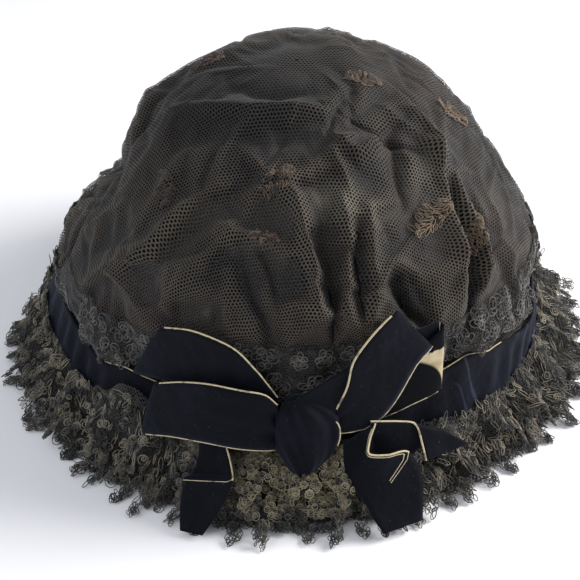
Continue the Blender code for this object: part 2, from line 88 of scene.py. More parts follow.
add_camera()
add_lamp("soft_key", (0.85, 0.12, 0.62), 0.5, 15.5, (1.0, 0.98, 0.96))
add_lamp("soft_fill", (-0.7, -0.5, 0.6), 0.9, 4.8, (0.92, 0.96, 1.0))
sky = bpy.data.worlds.new("pale_sky")
sky.use_nodes = True
sky.node_tree.nodes["Background"].inputs["Color"].default_value = (0.93, 0.95, 1.0, 1.0)
sky.node_tree.nodes["Background"].inputs["Strength"].default_value = 0.48
bpy.context.scene.world = sky
bpy.context.scene.view_settings.view_transform = "Standard"

# %% [markdown]
# ## Shader sums
#
# `Wire` wraps a node's output so that a pattern can be written as a sum. `Graph.add` makes any
# node: its type, its settings, then its sockets.

# %% A small wrapper for shader nodes


class Wire:
    """A node's output. Sums with it add Math nodes."""

    def __init__(self, graph, socket):
        self.graph = graph
        self.socket = socket

    def math(self, operation, *operands):
        return self.graph.math(operation, self, *operands)

    def __add__(self, other):
        return self.math("ADD", other)

    def __radd__(self, other):
        return self.math("ADD", other)

    def __sub__(self, other):
        return self.math("SUBTRACT", other)

    def __rsub__(self, other):
        return self.graph.math("SUBTRACT", other, self)

    def __mul__(self, other):
        return self.math("MULTIPLY", other)

    def __rmul__(self, other):
        return self.math("MULTIPLY", other)

    def __truediv__(self, other):
        return self.math("DIVIDE", other)

    def __rtruediv__(self, other):
        return self.graph.math("DIVIDE", other, self)

    def __pow__(self, other):
        return self.math("POWER", other)

    def __lt__(self, other):
        return self.math("LESS_THAN", other)


class Graph:
    """The nodes of one material, ending in its Principled shader."""

    def __init__(self, name):
        self.material = bpy.data.materials.new(name)
        self.material.use_nodes = True
        self.tree = self.material.node_tree
        self.shader = self.tree.nodes["Principled BSDF"]

    def fill(self, node, sockets):
        for key, value in sockets.items():
            if isinstance(value, Wire):
                self.tree.links.new(value.socket, node.inputs[key])
            else:
                node.inputs[key].default_value = value

    def add(self, kind, settings, sockets, output=0):
        node = self.tree.nodes.new(kind)
        for key, value in settings.items():
            setattr(node, key, value)
        self.fill(node, sockets)
        return Wire(self, node.outputs[output])

    def math(self, operation, *operands):
        return self.add("ShaderNodeMath", {"operation": operation}, dict(enumerate(operands)))

    def vector(self, operation, *operands, output=0):
        sockets = dict(enumerate(operands))
        return self.add("ShaderNodeVectorMath", {"operation": operation}, sockets, output)

    def colour(self, share, first, second):
        sockets = {0: share, 6: first, 7: second}
        return self.add("ShaderNodeMix", {"data_type": "RGBA"}, sockets, 2)

    def step(self, value, low, high):
        """0 below low, 1 above high, and smooth between."""
        sockets = {0: value, 1: low, 2: high, 3: 0.0, 4: 1.0}
        return self.add("ShaderNodeMapRange", {"interpolation_type": "SMOOTHSTEP"}, sockets)

    def noise(self, place, scale, detail=2.0):
        sockets = {"Vector": place, "Scale": scale, "Detail": detail}
        return self.add("ShaderNodeTexNoise", {}, sockets)

    def patchy(self, place, scale, detail, low, high):
        """Noise taken to 0 where it is below low and to 1 where it is above high."""
        return self.step(self.noise(place, scale, detail), low, high)

    def attribute(self, name, output="Vector"):
        return self.add("ShaderNodeAttribute", {"attribute_name": name}, {}, output)

    def object_mm(self):
        place = self.add("ShaderNodeTexCoord", {}, {}, "Object")
        return self.vector("MULTIPLY", place, (1000.0, 1000.0, 1000.0))

    def parts(self, vector):
        return [self.add("ShaderNodeSeparateXYZ", {}, {0: vector}, axis) for axis in range(3)]

    def bump(self, height, strength, distance):
        sockets = {"Strength": strength, "Distance": distance, "Height": height}
        return self.add("ShaderNodeBump", {}, sockets, "Normal")

    def finish(self, **sockets):
        """Sets the shader's own sockets, named with _ for a space."""
        self.fill(self.shader, {key.replace("_", " "): value for key, value in sockets.items()})
        return self.material


def paint(red, green, blue):
    """A colour from 0 to 255 as a shader's linear colour."""
    share = np.array([red, green, blue]) / 255.0
    return (*np.where(share > 0.04, ((share + 0.055) / 1.055) ** 2.4, share / 12.92), 1.0)


def hexagons(graph, place):
    """0 at the middle of each cell of side-by-side hexagons, 1 on the lines between them."""
    lattice = (1.0, 3.0**0.5, 1.0)
    offsets = []
    for shift in ((0.0, 0.0, 0.0), (0.5, 3.0**0.5 / 2, 0.0)):
        cell = graph.vector("DIVIDE", graph.vector("ADD", place, shift), lattice)
        cell = graph.vector("SUBTRACT", graph.vector("FRACTION", cell), (0.5, 0.5, 0.0))
        offsets.append(graph.vector("MULTIPLY", cell, (1.0, 3.0**0.5, 0.0)))
    first, second = (graph.vector("LENGTH", offset, output=1) for offset in offsets)
    sockets = {0: second < first, 4: offsets[0], 5: offsets[1]}
    nearest = graph.add("ShaderNodeMix", {"data_type": "VECTOR"}, sockets, 1)
    side = graph.vector("ABSOLUTE", nearest)
    slanting = graph.vector("DOT_PRODUCT", side, (0.5, 3.0**0.5 / 2, 0.0), output=1)
    return graph.math("MAXIMUM", graph.parts(side)[0], slanting) * 2.0


def net_cells(graph, cloth, pitch):
    """Hexagons this many millimetres from one to the next."""
    return hexagons(graph, graph.vector("DIVIDE", cloth, (pitch,) * 3))


def wavy_cells(graph, cloth, pitch, scale, reach):
    """The same on cloth whose threads have shifted, by noise of this scale and reach."""
    shift = graph.add("ShaderNodeTexNoise", {}, {"Vector": cloth, "Scale": scale}, 1)
    shift = graph.vector("MULTIPLY", graph.vector("SUBTRACT", shift, (0.5, 0.5, 0.5)), (reach,) * 3)
    return net_cells(graph, graph.vector("ADD", cloth, shift), pitch)


# %% [markdown]
# ## Materials
#
# The net and the lace are open work: their alpha is 0 in each hole. Positions on the cloth come
# from the meshes' own attribute `cloth`, in millimetres along and across the flat sheet.

# %% Materials

# From one hexagon of each net to the next, in millimetres
NET_PITCH = 1.42
INNER_NET_PITCH = 1.2


def make_net():
    """Hexagon net: open on the folds and pressed to the cloth below it elsewhere, with painted light
    on the crests and painted shade in the hollows.
    """
    graph = Graph("hexagon_net")
    cloth = graph.attribute("cloth")
    cells = wavy_cells(graph, cloth, NET_PITCH, 0.12, 1.6)
    thread = graph.step(cells, 0.52, 0.7)
    place = graph.object_mm()
    fold = graph.attribute("fold", "Fac")
    dust = graph.patchy(place, 0.035, 3.0, 0.32, 0.68)
    # Painted shade in the hollows of the folds and painted light on their crests, mixed with random
    # dust.
    shade = graph.step(fold, -1.0, 1.3) * 0.65 + dust * 0.35
    shade = graph.colour(shade, paint(15, 14, 17), paint(67, 60, 51))
    brown = graph.patchy(place, 0.022, 2.0, 0.5, 0.7)
    shade = graph.colour(brown * 0.6, shade, paint(44, 33, 26))
    strands = graph.patchy(cloth, 1.9, 3.0, 0.45, 0.75)
    shade = graph.colour(strands * 0.4, shade, paint(98, 90, 78))
    # Painted light and painted shade in patches, from the crown's table.
    patch = graph.attribute("patch", "Fac")
    shade = graph.colour(graph.step(patch, 0.0, 1.0) * 0.75, shade, paint(104, 98, 86))
    shade = graph.colour(graph.step(patch, 0.0, -1.0) * 0.75, shade, paint(10, 10, 12))
    pressed = graph.step(graph.noise(place, 0.04, 3.0) - fold * 0.1, 0.5, 0.64) * 0.7
    below = graph.colour(0.6, shade, paint(12, 12, 17))
    shade = graph.colour(thread, below, shade)
    return graph.finish(
        Base_Color=shade, Roughness=0.7, Alpha=graph.math("MAXIMUM", thread, pressed),
        Normal=graph.bump(cells, 0.5, 0.0004), Sheen_Weight=0.12, Specular_IOR_Level=0.3,
    )


def make_inner_net():
    """The second layer of net, finer and darker, and open only where the attribute says so."""
    graph = Graph("fine_inner_net")
    cloth = graph.attribute("cloth")
    cells = net_cells(graph, cloth, INNER_NET_PITCH)
    open_share = graph.attribute("open", "Fac")
    thread = graph.math("MAXIMUM", graph.step(cells, 0.52, 0.7), 1.0 - open_share)
    tint = graph.step(graph.noise(graph.object_mm(), 0.045, 3.0), 0.46, 0.66)
    shade = graph.colour(tint, paint(9, 9, 12), paint(24, 23, 26))
    return graph.finish(
        Base_Color=shade, Roughness=0.85, Alpha=thread, Specular_IOR_Level=0.15,
        Normal=graph.bump(cells, 0.5, 0.0003),
    )


def make_lining():
    graph = Graph("dark_lining_cloth")
    place = graph.object_mm()
    patches = graph.patchy(place, 0.04, 3.0, 0.35, 0.7)
    shade = graph.colour(patches, paint(11, 12, 15), paint(22, 24, 29))
    weave = graph.noise(place, 2.2, 2.0)
    return graph.finish(
        Base_Color=shade, Roughness=0.8, Normal=graph.bump(weave, 0.3, 0.0003),
        Specular_IOR_Level=0.2,
    )


def make_lace(name, dark, light, holes, pitch):
    """A ground of fine net with denser worked patches, for the border and the ruffle."""
    graph = Graph(name)
    cloth = graph.attribute("cloth")
    cells = wavy_cells(graph, cloth, pitch, 0.25, 2.4)
    worked = graph.patchy(cloth, 0.22, 2.0, 0.46, 0.56)
    solid = graph.math("MAXIMUM", graph.step(cells, holes, holes + 0.16), worked * 0.86)
    edge = graph.attribute("edge", "Fac")
    alpha = solid * (1.0 - graph.step(edge + graph.noise(cloth, 0.9, 2.0) * 0.5, 1.0, 1.12))
    tint = graph.patchy(cloth, 0.55, 3.0, 0.35, 0.7)
    shade = graph.colour(tint, dark, light)
    return graph.finish(
        Base_Color=shade, Roughness=0.8, Alpha=alpha, Sheen_Weight=0.2, Specular_IOR_Level=0.25,
        Normal=graph.bump(cells, 0.8, 0.0005),
    )


def make_thread(name, dark, light, front_gold_and_light, reach):
    """Twisted thread: lighter in places, golden in front with painted light there, and with painted
    shade by the floor and at the rim.
    """
    graph = Graph(name)
    place = graph.object_mm()
    tint = graph.patchy(place, 0.16, 4.0, 0.36, 0.68)
    shade = graph.colour(tint, dark, light)
    # Lighter and golden in front: partly the thread's colour, partly painted light.
    away = graph.vector("DISTANCE", place, (2.0, -108.0, 18.0), output=1)
    near = 1.0 - graph.step(away, reach * 0.4, reach)
    near = near * graph.patchy(place, 0.3, 2.0, 0.3, 0.6)
    height = graph.parts(place)[2]
    # Painted shade low by the floor and at the outer rim of the ruffle.
    shade = graph.colour((1.0 - graph.step(height, 2.0, 9.0)) * 0.75, shade, paint(13, 13, 16))
    rim = graph.vector("LENGTH", graph.vector("MULTIPLY", place, (1.0, 1.0, 0.0)), output=1)
    shade = graph.colour(graph.step(rim, 110.0, 123.0) * 0.5, shade, paint(13, 13, 16))
    near = near * graph.step(height, 6.0, 14.0)
    shade = graph.colour(near * 0.8, shade, front_gold_and_light)
    twist = graph.noise(place, 2.5, 3.0)
    return graph.finish(
        Base_Color=shade, Roughness=0.6, Normal=graph.bump(twist, 0.7, 0.0003), Sheen_Weight=0.3,
        Specular_IOR_Level=0.35,
    )


VELVET_DARK = paint(4, 5, 10)


def make_velvet():
    """Navy pile: near black face on, with a painted sheen where it is seen at a slant and painted
    highlights along creases at the right.
    """
    graph = Graph("silk_velvet_pile")
    place = graph.object_mm()
    nap = graph.noise(graph.vector("MULTIPLY", place, (1.0, 1.0, 0.55)), 0.09, 3.0)
    dents = graph.bump(graph.noise(place, 0.11, 2.0), 0.6, 0.002)
    # Painted sheen: lighter where the velvet is seen at a slant.
    painted_sheen = graph.add("ShaderNodeLayerWeight", {}, {"Blend": 0.3}, "Facing")
    shade = graph.colour(graph.step(nap, 0.45, 0.75) * 0.6, VELVET_DARK, paint(13, 15, 24))
    shade = graph.colour(graph.step(painted_sheen, 0.35, 1.0) * 0.7, shade, paint(20, 24, 36))
    # Painted highlights: thin light creases, only on the right side.
    across = graph.noise(graph.vector("MULTIPLY", place, (1.0, 1.0, 0.15)), 0.07, 1.0)
    crease = 1.0 - graph.step(graph.math("ABSOLUTE", across - 0.5), 0.0, 0.02)
    crease = crease * graph.step(graph.parts(place)[0], 58.0, 66.0)
    shade = graph.colour(crease * 0.35, shade, paint(70, 76, 96))
    lint = graph.patchy(place, 1.3, 1.0, 0.74, 0.8)
    shade = graph.colour(lint * 0.35, shade, paint(112, 110, 108))
    pile = graph.bump(graph.noise(place, 3.2, 2.0), 0.4, 0.0003)
    graph.fill(pile.socket.node, {"Normal": dents})
    return graph.finish(
        Base_Color=shade, Roughness=0.75, Normal=pile, Sheen_Weight=0.12,
        Sheen_Roughness=0.5, Sheen_Tint=paint(140, 150, 190), Specular_IOR_Level=0.1,
    )


def make_satin():
    """The ribbon's back: cream satin where the mesh says so, else velvet."""
    graph = Graph("cream_satin")
    cloth = graph.attribute("cloth")
    along = graph.noise(graph.vector("MULTIPLY", cloth, (0.25, 6.0, 1.0)), 1.0, 2.0)
    stain = graph.patchy(cloth, 0.12, 3.0, 0.4, 0.75)
    shade = graph.colour(stain, paint(188, 174, 140), paint(140, 124, 94))
    shade = graph.colour(graph.step(along, 0.3, 0.7) * 0.25, shade, paint(214, 203, 172))
    satin = graph.step(graph.attribute("satin", "Fac"), 0.35, 0.65)
    return graph.finish(
        Base_Color=graph.colour(satin, VELVET_DARK, shade), Roughness=0.85 - satin * 0.35,
        Normal=graph.bump(along, 0.3, 0.0002), Specular_IOR_Level=0.12,
    )


def make_selvedge():
    """The corded cream edge of the ribbon, worn through to dark thread in places."""
    graph = Graph("cream_selvedge")
    place = graph.object_mm()
    wear = graph.patchy(place, 0.3, 3.0, 0.52, 0.72)
    shade = graph.colour(wear, paint(186, 172, 140), paint(96, 88, 76))
    cord = graph.noise(place, 1.8, 2.0)
    return graph.finish(
        Base_Color=shade, Roughness=0.6, Normal=graph.bump(cord, 0.6, 0.0003), Sheen_Weight=0.1,
    )


def make_floss():
    """The copper-brown floss of the sprigs worked on the net, with painted light on the right and
    painted shade on the left.
    """
    graph = Graph("copper_floss")
    place = graph.object_mm()
    tint = graph.patchy(place, 0.6, 3.0, 0.35, 0.65)
    shade = graph.colour(tint, paint(54, 45, 39), paint(112, 91, 74))
    # Painted light on the right side and painted shade on the left.
    across = graph.parts(place)[0]
    shade = graph.colour(graph.step(across, 20.0, 50.0) * 0.7, shade, paint(132, 113, 90))
    shade = graph.colour(graph.step(across, -20.0, -50.0) * 0.7, shade, paint(34, 30, 29))
    return graph.finish(
        Base_Color=shade, Roughness=0.65, Normal=graph.bump(graph.noise(place, 3.0), 0.6, 0.0003),
        Sheen_Weight=0.2, Specular_IOR_Level=0.3,
    )


NET = make_net()
INNER_NET = make_inner_net()
LINING = make_lining()
BORDER_LACE = make_lace("border_lace_ground", paint(22, 21, 22), paint(50, 48, 46), 0.6, 1.2)
RUFFLE_LACE = make_lace("ruffle_lace_ground", paint(10, 10, 10), paint(30, 28, 25), 0.5, 1.5)
BORDER_THREAD = make_thread(
    "border_lace_thread", paint(40, 38, 38), paint(96, 91, 85), paint(132, 126, 116), 62.0
)
RUFFLE_THREAD = make_thread(
    "ruffle_lace_thread", paint(14, 13, 13), paint(138, 129, 109), paint(150, 140, 108), 36.0
)
VELVET = make_velvet()
SATIN = make_satin()
SELVEDGE = make_selvedge()
FLOSS = make_floss()

# %% [markdown]
# ## The curves of the solids
#
# These tables and functions began as the solid model's own, in finer steps. Some folds at the
# left, the back and the front have been moved since. A place on the crown is an azimuth (0 in
# front, positive towards +X) and a slant from straight up, seen from the crown's middle.

# %% Tables of folds, ribbons and edges
CROWN_HALF_SIZES = np.array([101.5, 104.0, 117.0])
CROWN_MIDDLE = np.array([0.0, 0.0, 19.0])
WAIST_RADIUS = 90.5
BROAD_FOLD = 10.0

# The radius to which the bow's loops flatten the puff, and how far inside the band it is held
BOW_INSIDE = 91.8
BAND_GRIP = 1.3

Fold = namedtuple("Fold", "name path half_width rise")

# Each path is three to five places (azimuth, slant) that the fold passes. A rise above 0 stands
# out of the crown as a ridge, and one below 0 is a valley.
CROWN_FOLDS = (
    Fold("top ridge", ((-58, 20), (-33, 17), (-5, 15), (22, 16)), 7.0, 3.0),
    Fold("top valley", ((-50, 13), (-18, 11), (12, 10)), 6.0, -2.6),
    Fold("under the top ridge", ((-38, 24), (-12, 22), (8, 21)), 7.0, -2.0),
    Fold("left crease", ((-78, 42), (-91, 47), (-105, 53), (-119, 60), (-134, 66)), 13.0, -10.0),
    Fold("left shoulder", ((-152, 27), (-132, 31), (-116, 39), (-106, 47)), 20.0, -3.4),
    Fold("left edge ridge", ((-128, 22), (-110, 30), (-98, 38)), 5.5, 1.2),
    Fold("left crease foot", ((-82, 50), (-93, 58), (-103, 66)), 9.0, -4.0),
    Fold("left lower side", ((-116, 60), (-103, 65), (-94, 71), (-88, 78)), 12.0, -3.2),
    Fold("left slope ridge", ((-28, 33), (-37, 39), (-41, 48), (-47, 57)), 6.0, 3.9),
    Fold("left slope valley", ((-20, 35), (-28, 39), (-34, 45), (-38, 54)), 6.0, -3.1),
    Fold("left low ridge", ((-42, 50), (-50, 56), (-58, 63)), 7.0, 3.6),
    Fold("middle left ridge", ((-19, 41), (-25, 46), (-30, 52), (-33, 59)), 5.5, 3.3),
    Fold("front left valley", ((-14, 46), (-11, 52), (-7, 57), (-5, 66)), 5.0, -4.5),
    Fold("front ridge", ((-2, 30), (1, 38), (4, 46), (5, 56), (4, 68)), 5.0, 6.8),
    Fold("front valley", ((5, 41), (7, 46), (8.5, 52), (8.5, 58), (7.5, 67)), 5.0, -5.2),
    Fold("right of front ridge", ((15, 34), (15, 40), (14, 46), (12.5, 53), (12, 64)), 5.0, 5.2),
    Fold("right of front valley", ((19, 36), (16, 45), (15.5, 53), (15.5, 63)), 4.5, -4.5),
    Fold("slanting ridge", ((23, 36), (20, 45), (18, 54), (16, 61)), 5.0, 3.9),
    Fold("pocket", ((25, 52), (28, 57), (31, 62)), 6.5, -7.2),
    Fold("pocket hood", ((20, 53), (24, 48), (31, 50)), 4.5, 3.6),
    Fold("right shoulder dent", ((46, 25), (40, 31), (35, 38)), 6.0, -4.2),
    Fold("right shoulder ridge", ((20, 21), (26, 26), (38, 24)), 5.5, 3.3),
    Fold("tall ridge", ((68, 24), (57, 34), (48, 44), (44, 53), (40, 63)), 6.0, 6.3),
    Fold("tall valley", ((55, 36), (51, 44), (49, 52), (47, 59), (43, 66)), 4.5, -7.2),
    Fold("tongue ridge", ((58, 38), (55, 46), (54, 53), (50, 60)), 4.0, 4.5),
    Fold("beside the tongue", ((62, 44), (60, 51), (57, 59)), 4.5, -3.1),
    Fold("right low ridge", ((66, 52), (64, 60), (60, 69)), 6.0, 2.7),
    Fold("right shoulder", ((138, 31), (126, 36), (119, 40)), 11.0, 1.6),
    Fold("right flank dent", ((116, 46), (106, 48), (97, 46)), 8.0, -2.3),
    Fold("left back hollow", ((-136, 44), (-149, 49), (-163, 54)), 12.0, -5.0),
    Fold("back left ridge", ((-120, 56), (-124, 66), (-126, 76)), 8.0, 0.8),
    Fold("back left valley", ((-136, 52), (-140, 64), (-141, 76)), 8.0, -5.2),
    Fold("back middle ridge", ((-158, 46), (-156, 60), (-157, 76)), 8.0, 4.5),
    Fold("back middle valley", ((-174, 48), (-173, 62), (-174, 76)), 8.0, -5.2),
    Fold("back right ridge", ((166, 44), (169, 60), (168, 76)), 8.0, 4.8),
    Fold("back right valley", ((150, 50), (152, 62), (151, 76)), 8.0, -5.2),
    Fold("right back ridge", ((132, 52), (134, 64), (133, 76)), 8.0, 4.2),
    Fold("right back valley", ((116, 54), (115, 66), (116, 76)), 8.0, -4.5),
)

# Stations along each ribbon: the azimuth, radius and height of its upper (or left) selvedge,
# then those of its lower (or right) one
LEFT_UPPER_LOOP = (
    (-4.2, 98.3, 50.0, -4.2, 98.6, 38.3),
    (-6.4, 98.6, 56.4, -6.8, 99.0, 41.0),
    (-9.0, 98.7, 63.0, -9.5, 99.2, 43.0),
    (-14.0, 98.3, 71.5, -15.0, 99.3, 47.5),
    (-23.0, 96.8, 74.0, -24.5, 99.0, 50.0),
    (-31.0, 95.6, 70.0, -38.0, 98.6, 44.0),
    (-31.5, 94.4, 69.0, -38.5, 96.6, 43.0),
    (-24.0, 94.8, 70.0, -26.0, 95.8, 46.5),
    (-14.0, 95.4, 66.0, -15.0, 95.8, 44.5),
    (-5.6, 95.8, 50.0, -5.6, 96.0, 39.0),
)
LEFT_LOWER_LOOP = (
    (-4.0, 102.6, 50.2, -4.2, 104.8, 29.8),
    (-6.5, 103.8, 55.5, -7.0, 108.0, 32.0),
    (-11.0, 104.5, 57.0, -11.5, 109.0, 32.5),
    (-18.0, 104.0, 57.0, -19.0, 108.5, 32.0),
    (-24.5, 102.8, 53.5, -26.5, 107.4, 29.0),
    (-31.0, 101.6, 47.5, -33.5, 106.2, 23.5),
    (-31.5, 100.0, 47.0, -34.0, 103.6, 23.0),
    (-24.5, 100.8, 50.0, -26.5, 104.4, 27.0),
    (-14.0, 101.4, 53.0, -14.5, 104.8, 29.0),
    (-5.6, 101.0, 48.5, -5.6, 102.4, 29.5),
)
RIGHT_LOOP = (
    (8.2, 102.6, 47.4, 8.2, 103.4, 36.2),
    (10.4, 102.0, 57.0, 14.0, 103.6, 36.6),
    (11.6, 100.4, 66.0, 18.8, 103.4, 42.5),
    (13.8, 98.9, 71.6, 22.3, 102.2, 50.2),
    (17.4, 96.9, 77.2, 26.0, 100.4, 59.0),
    (21.3, 95.4, 81.4, 29.8, 98.9, 63.0),
    (23.4, 94.2, 81.2, 31.4, 97.0, 61.9),
    (27.0, 94.4, 71.0, 31.8, 97.0, 52.5),
    (33.2, 95.4, 71.0, 33.0, 98.6, 44.0),
    (33.0, 96.8, 68.4, 31.6, 100.2, 42.3),
    (26.0, 96.6, 61.0, 25.6, 100.0, 40.4),
    (18.0, 97.6, 54.6, 21.0, 100.2, 38.8),
    (10.8, 98.8, 48.0, 12.2, 100.2, 36.4),
)
LEFT_TAIL = (
    (-20.2, 105.9, 30.0, -14.6, 106.1, 30.6),
    (-20.2, 107.6, 23.5, -13.4, 108.8, 26.5),
    (-20.6, 112.2, 19.2, -12.4, 112.6, 23.2),
    (-21.3, 116.2, 19.4, -12.0, 115.6, 23.0),
    (-21.3, 118.0, 16.4, -12.2, 117.6, 19.4),
    (-21.0, 122.6, 9.4, -13.6, 121.4, 12.2),
    (-20.2, 127.2, 2.6, -16.2, 127.2, 2.8),
)
RIGHT_LONG_TAIL = (
    (16.0, 104.9, 40.0, 9.4, 104.8, 32.0),
    (14.2, 108.2, 34.6, 9.4, 108.2, 23.6),
    (13.6, 112.4, 32.2, 10.2, 113.0, 18.6),
    (17.0, 113.8, 31.0, 11.0, 116.6, 16.6),
    (21.6, 113.6, 29.6, 12.2, 119.8, 14.2),
    (23.4, 118.4, 19.5, 13.2, 123.4, 10.2),
    (22.0, 126.0, 5.6, 14.8, 127.2, 4.4),
)
RIGHT_SHORT_TAIL = (
    (15.2, 104.0, 40.2, 14.6, 107.6, 25.0),
    (21.0, 105.8, 38.8, 22.6, 110.4, 24.5),
    (24.4, 107.2, 36.2, 28.4, 109.0, 31.6),
    (25.0, 110.6, 29.4, 31.6, 112.0, 29.0),
    (24.9, 114.6, 24.0, 34.4, 115.2, 24.6),
)

# Azimuth, the radius and height of the band's top, and those of its foot. It stands upright
# behind the bow and leans outwards at the sides.
BAND_ROWS = (
    (-180, 96.4, 39.0, 100.0, 16.5),
    (-135, 97.0, 39.0, 102.0, 17.5),
    (-104, 98.2, 39.0, 107.5, 20.0),
    (-84, 98.4, 40.0, 105.0, 21.5),
    (-66, 98.0, 41.0, 102.4, 20.5),
    (-52, 97.6, 37.0, 101.4, 19.0),
    (-42, 95.8, 40.5, 100.0, 18.0),
    (-32, 93.2, 39.0, 96.0, 17.0),
    (-12, 92.6, 37.5, 94.6, 16.5),
    (12, 92.6, 37.5, 94.6, 16.5),
    (28, 93.2, 40.0, 96.0, 17.0),
    (36, 94.4, 45.0, 98.6, 21.0),
    (42, 96.0, 47.5, 100.4, 21.0),
    (50, 98.2, 44.0, 101.2, 20.5),
    (66, 102.0, 41.0, 102.4, 20.5),
    (82, 98.4, 39.5, 101.6, 18.5),
    (135, 97.0, 39.0, 101.0, 17.5),
    (180, 96.4, 39.0, 100.0, 16.5),
)

# Azimuth, and the slants of the lace border's upper and lower edges
BORDER_ROWS = (
    (-180, 64.5, 76.0),
    (-84, 64.5, 76.0),
    (-66, 65.0, 75.6),
    (-52, 65.5, 79.2),
    (-42, 65.5, 77.4),
    (-16, 60.5, 73.0),
    (-2, 61.5, 75.5),
    (12, 61.5, 73.0),
    (34, 64.0, 72.8),
    (42, 63.0, 71.6),
    (50, 63.5, 73.6),
    (66, 64.5, 75.4),
    (82, 65.0, 76.4),
    (180, 64.5, 76.0),
)

# %% Placing functions


def smooth_step(low, high, value):
    t = np.clip((value - low) / (high - low), 0.0, 1.0)
    return t * t * (3.0 - 2.0 * t)


def spline(rows, steps):
    """Points of a Catmull-Rom curve through the rows, with this many steps from one to the next."""
    rows = np.asarray(rows, float)
    ends = np.vstack([2 * rows[0] - rows[1], rows, 2 * rows[-1] - rows[-2]])
    points = []
    for before, start, end, after in zip(ends, ends[1:], ends[2:], ends[3:]):
        for t in np.arange(steps) / steps:
            bend = (end - before) * t + (2 * before - 5 * start + 4 * end - after) * t**2
            bend = bend + (3 * start - before - 3 * end + after) * t**3
            points.append(start + 0.5 * bend)
    points.append(rows[-1])
    return np.array(points)


def table_at(rows, azimuth):
    """The columns of a table read at any azimuth, with smooth steps between its rows."""
    rows = np.array(rows, float)
    upper = np.clip(np.searchsorted(rows[:, 0], azimuth), 1, len(rows) - 1)
    share = smooth_step(rows[upper - 1, 0], rows[upper, 0], azimuth)
    values = []
    for column in rows.T[1:]:
        values.append(column[upper - 1] + (column[upper] - column[upper - 1]) * share)
    return values


def around(azimuth, radius, height):
    """A point at this azimuth, distance from the axis and height."""
    angle = np.radians(azimuth)
    return np.stack(
        np.broadcast_arrays(radius * np.sin(angle), -radius * np.cos(angle), height), axis=-1
    )


def slant_direction(azimuth, slant):
    tilt = np.radians(slant)
    return around(azimuth, np.sin(tilt), np.cos(tilt))


def unit(vectors, least=0.0):
    """The vectors at length 1. The least length keeps a vector of 0 from being divided by 0."""
    return vectors / (np.linalg.norm(vectors, axis=-1, keepdims=True) + least)


def plain_reach(azimuth, slant):
    """How far the unfolded puff reaches from the crown's middle."""
    direction = slant_direction(azimuth, slant)
    egg = 1.0 / np.linalg.norm(direction / CROWN_HALF_SIZES, axis=-1)
    top_radius, top_height = table_at(BAND_ROWS, azimuth)[:2]
    start = np.degrees(np.arctan2(top_radius, top_height - CROWN_MIDDLE[2]))
    waist = WAIST_RADIUS / np.maximum(np.sin(np.radians(slant)), 0.5)
    return egg + (waist - egg) * smooth_step(start, start + 9.0, slant)


def fold_relief(azimuth, slant, folds):
    """The sum of these folds' rises at a place on the crown."""
    place = slant_direction(azimuth, slant) * plain_reach(azimuth, slant)[..., None]
    relief = np.zeros(place.shape[:-1])
    for fold in folds:
        route = spline(fold.path, 4)
        reach = plain_reach(route[:, 0], route[:, 1])
        line = slant_direction(route[:, 0], route[:, 1]) * reach[:, None]
        nearest = np.full(relief.shape, np.inf)
        along = np.zeros(relief.shape)
        for index, (start, end) in enumerate(zip(line, line[1:])):
            span = end - start
            t = np.clip(((place - start) @ span) / (span @ span), 0.0, 1.0)
            gap = np.linalg.norm(place - start - t[..., None] * span, axis=-1)
            closer = gap < nearest
            nearest = np.where(closer, gap, nearest)
            along = np.where(closer, (index + t) / (len(line) - 1), along)
        fade = 0.35 + 0.65 * np.sin(np.pi * np.clip(along, 0.02, 0.98)) ** 0.6
        narrow, power = (0.74, 1.25) if fold.half_width < BROAD_FOLD else (1.0, 1.5)
        profile = np.exp(-((nearest / fold.half_width / narrow) ** power))
        relief += 1.35 * fold.rise * fade * profile
    return relief * (1.0 - smooth_step(72.0, 84.0, slant))


def pressed_in(slant, reach, radius, side, full, free):
    """The reach where the puff is held to a radius: fully below one height, free above another."""
    height = CROWN_MIDDLE[2] + reach * np.cos(np.radians(slant))
    allowed = radius / np.maximum(np.sin(np.radians(slant)), 0.2)
    low = 1.0 - smooth_step(full, free, height)
    return np.where(reach > allowed, reach + (allowed - reach) * side * low, reach)


def crown_point(azimuth, slant, outwards, relief):
    """A point of the folded net, or of a layer this far outside it, with this relief."""
    reach = plain_reach(azimuth, slant) + relief
    bow = smooth_step(-52.0, -40.0, azimuth) * (1.0 - smooth_step(36.0, 48.0, azimuth))
    reach = pressed_in(slant, reach, BOW_INSIDE, bow, 78.0, 90.0)
    top_radius, top_height = table_at(BAND_ROWS, azimuth)[:2]
    grip = top_radius - BAND_GRIP
    reach = pressed_in(slant, reach, grip, 1.0, top_height + 1.0, top_height + 16.0)
    return CROWN_MIDDLE + slant_direction(azimuth, slant) * (reach + outwards)[..., None]


# %% [markdown]
# ## Helpers for cloth meshes
#
# A sheet is a grid of points with the cloth's own flat coordinates kept on it. Pieces ride on
# the bonnet's one body and take the place of the plain solids.

# %% Mesh helpers


def add_piece(name, mesh, materials, replaced=()):
    """Puts a mesh into the scene as a piece of the bonnet."""
    for material in materials:
        mesh.materials.append(material)
    mesh.shade_smooth()
    obj = new_object(name, mesh)
    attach(obj, "root")
    if replaced:
        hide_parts(*replaced)
    return obj


def keep_attribute(mesh, name, kind, values):
    attribute = mesh.attributes.new(name, kind, "POINT")
    field = "value" if kind == "FLOAT" else "vector"
    attribute.data.foreach_set(field, np.asarray(values, np.float32).ravel())


def grid_faces(rows, columns, wrap=False):
    """The four corners of each face of a grid, outwards when rows run down and columns to +X."""
    row, column = np.meshgrid(np.arange(rows - 1), np.arange(columns - 1 + wrap), indexing="ij")
    right = (column + 1) % columns
    corners = (row * columns + column, (row + 1) * columns + column)
    corners += ((row + 1) * columns + right, row * columns + right)
    return np.stack(corners, axis=-1).reshape(-1, 4)


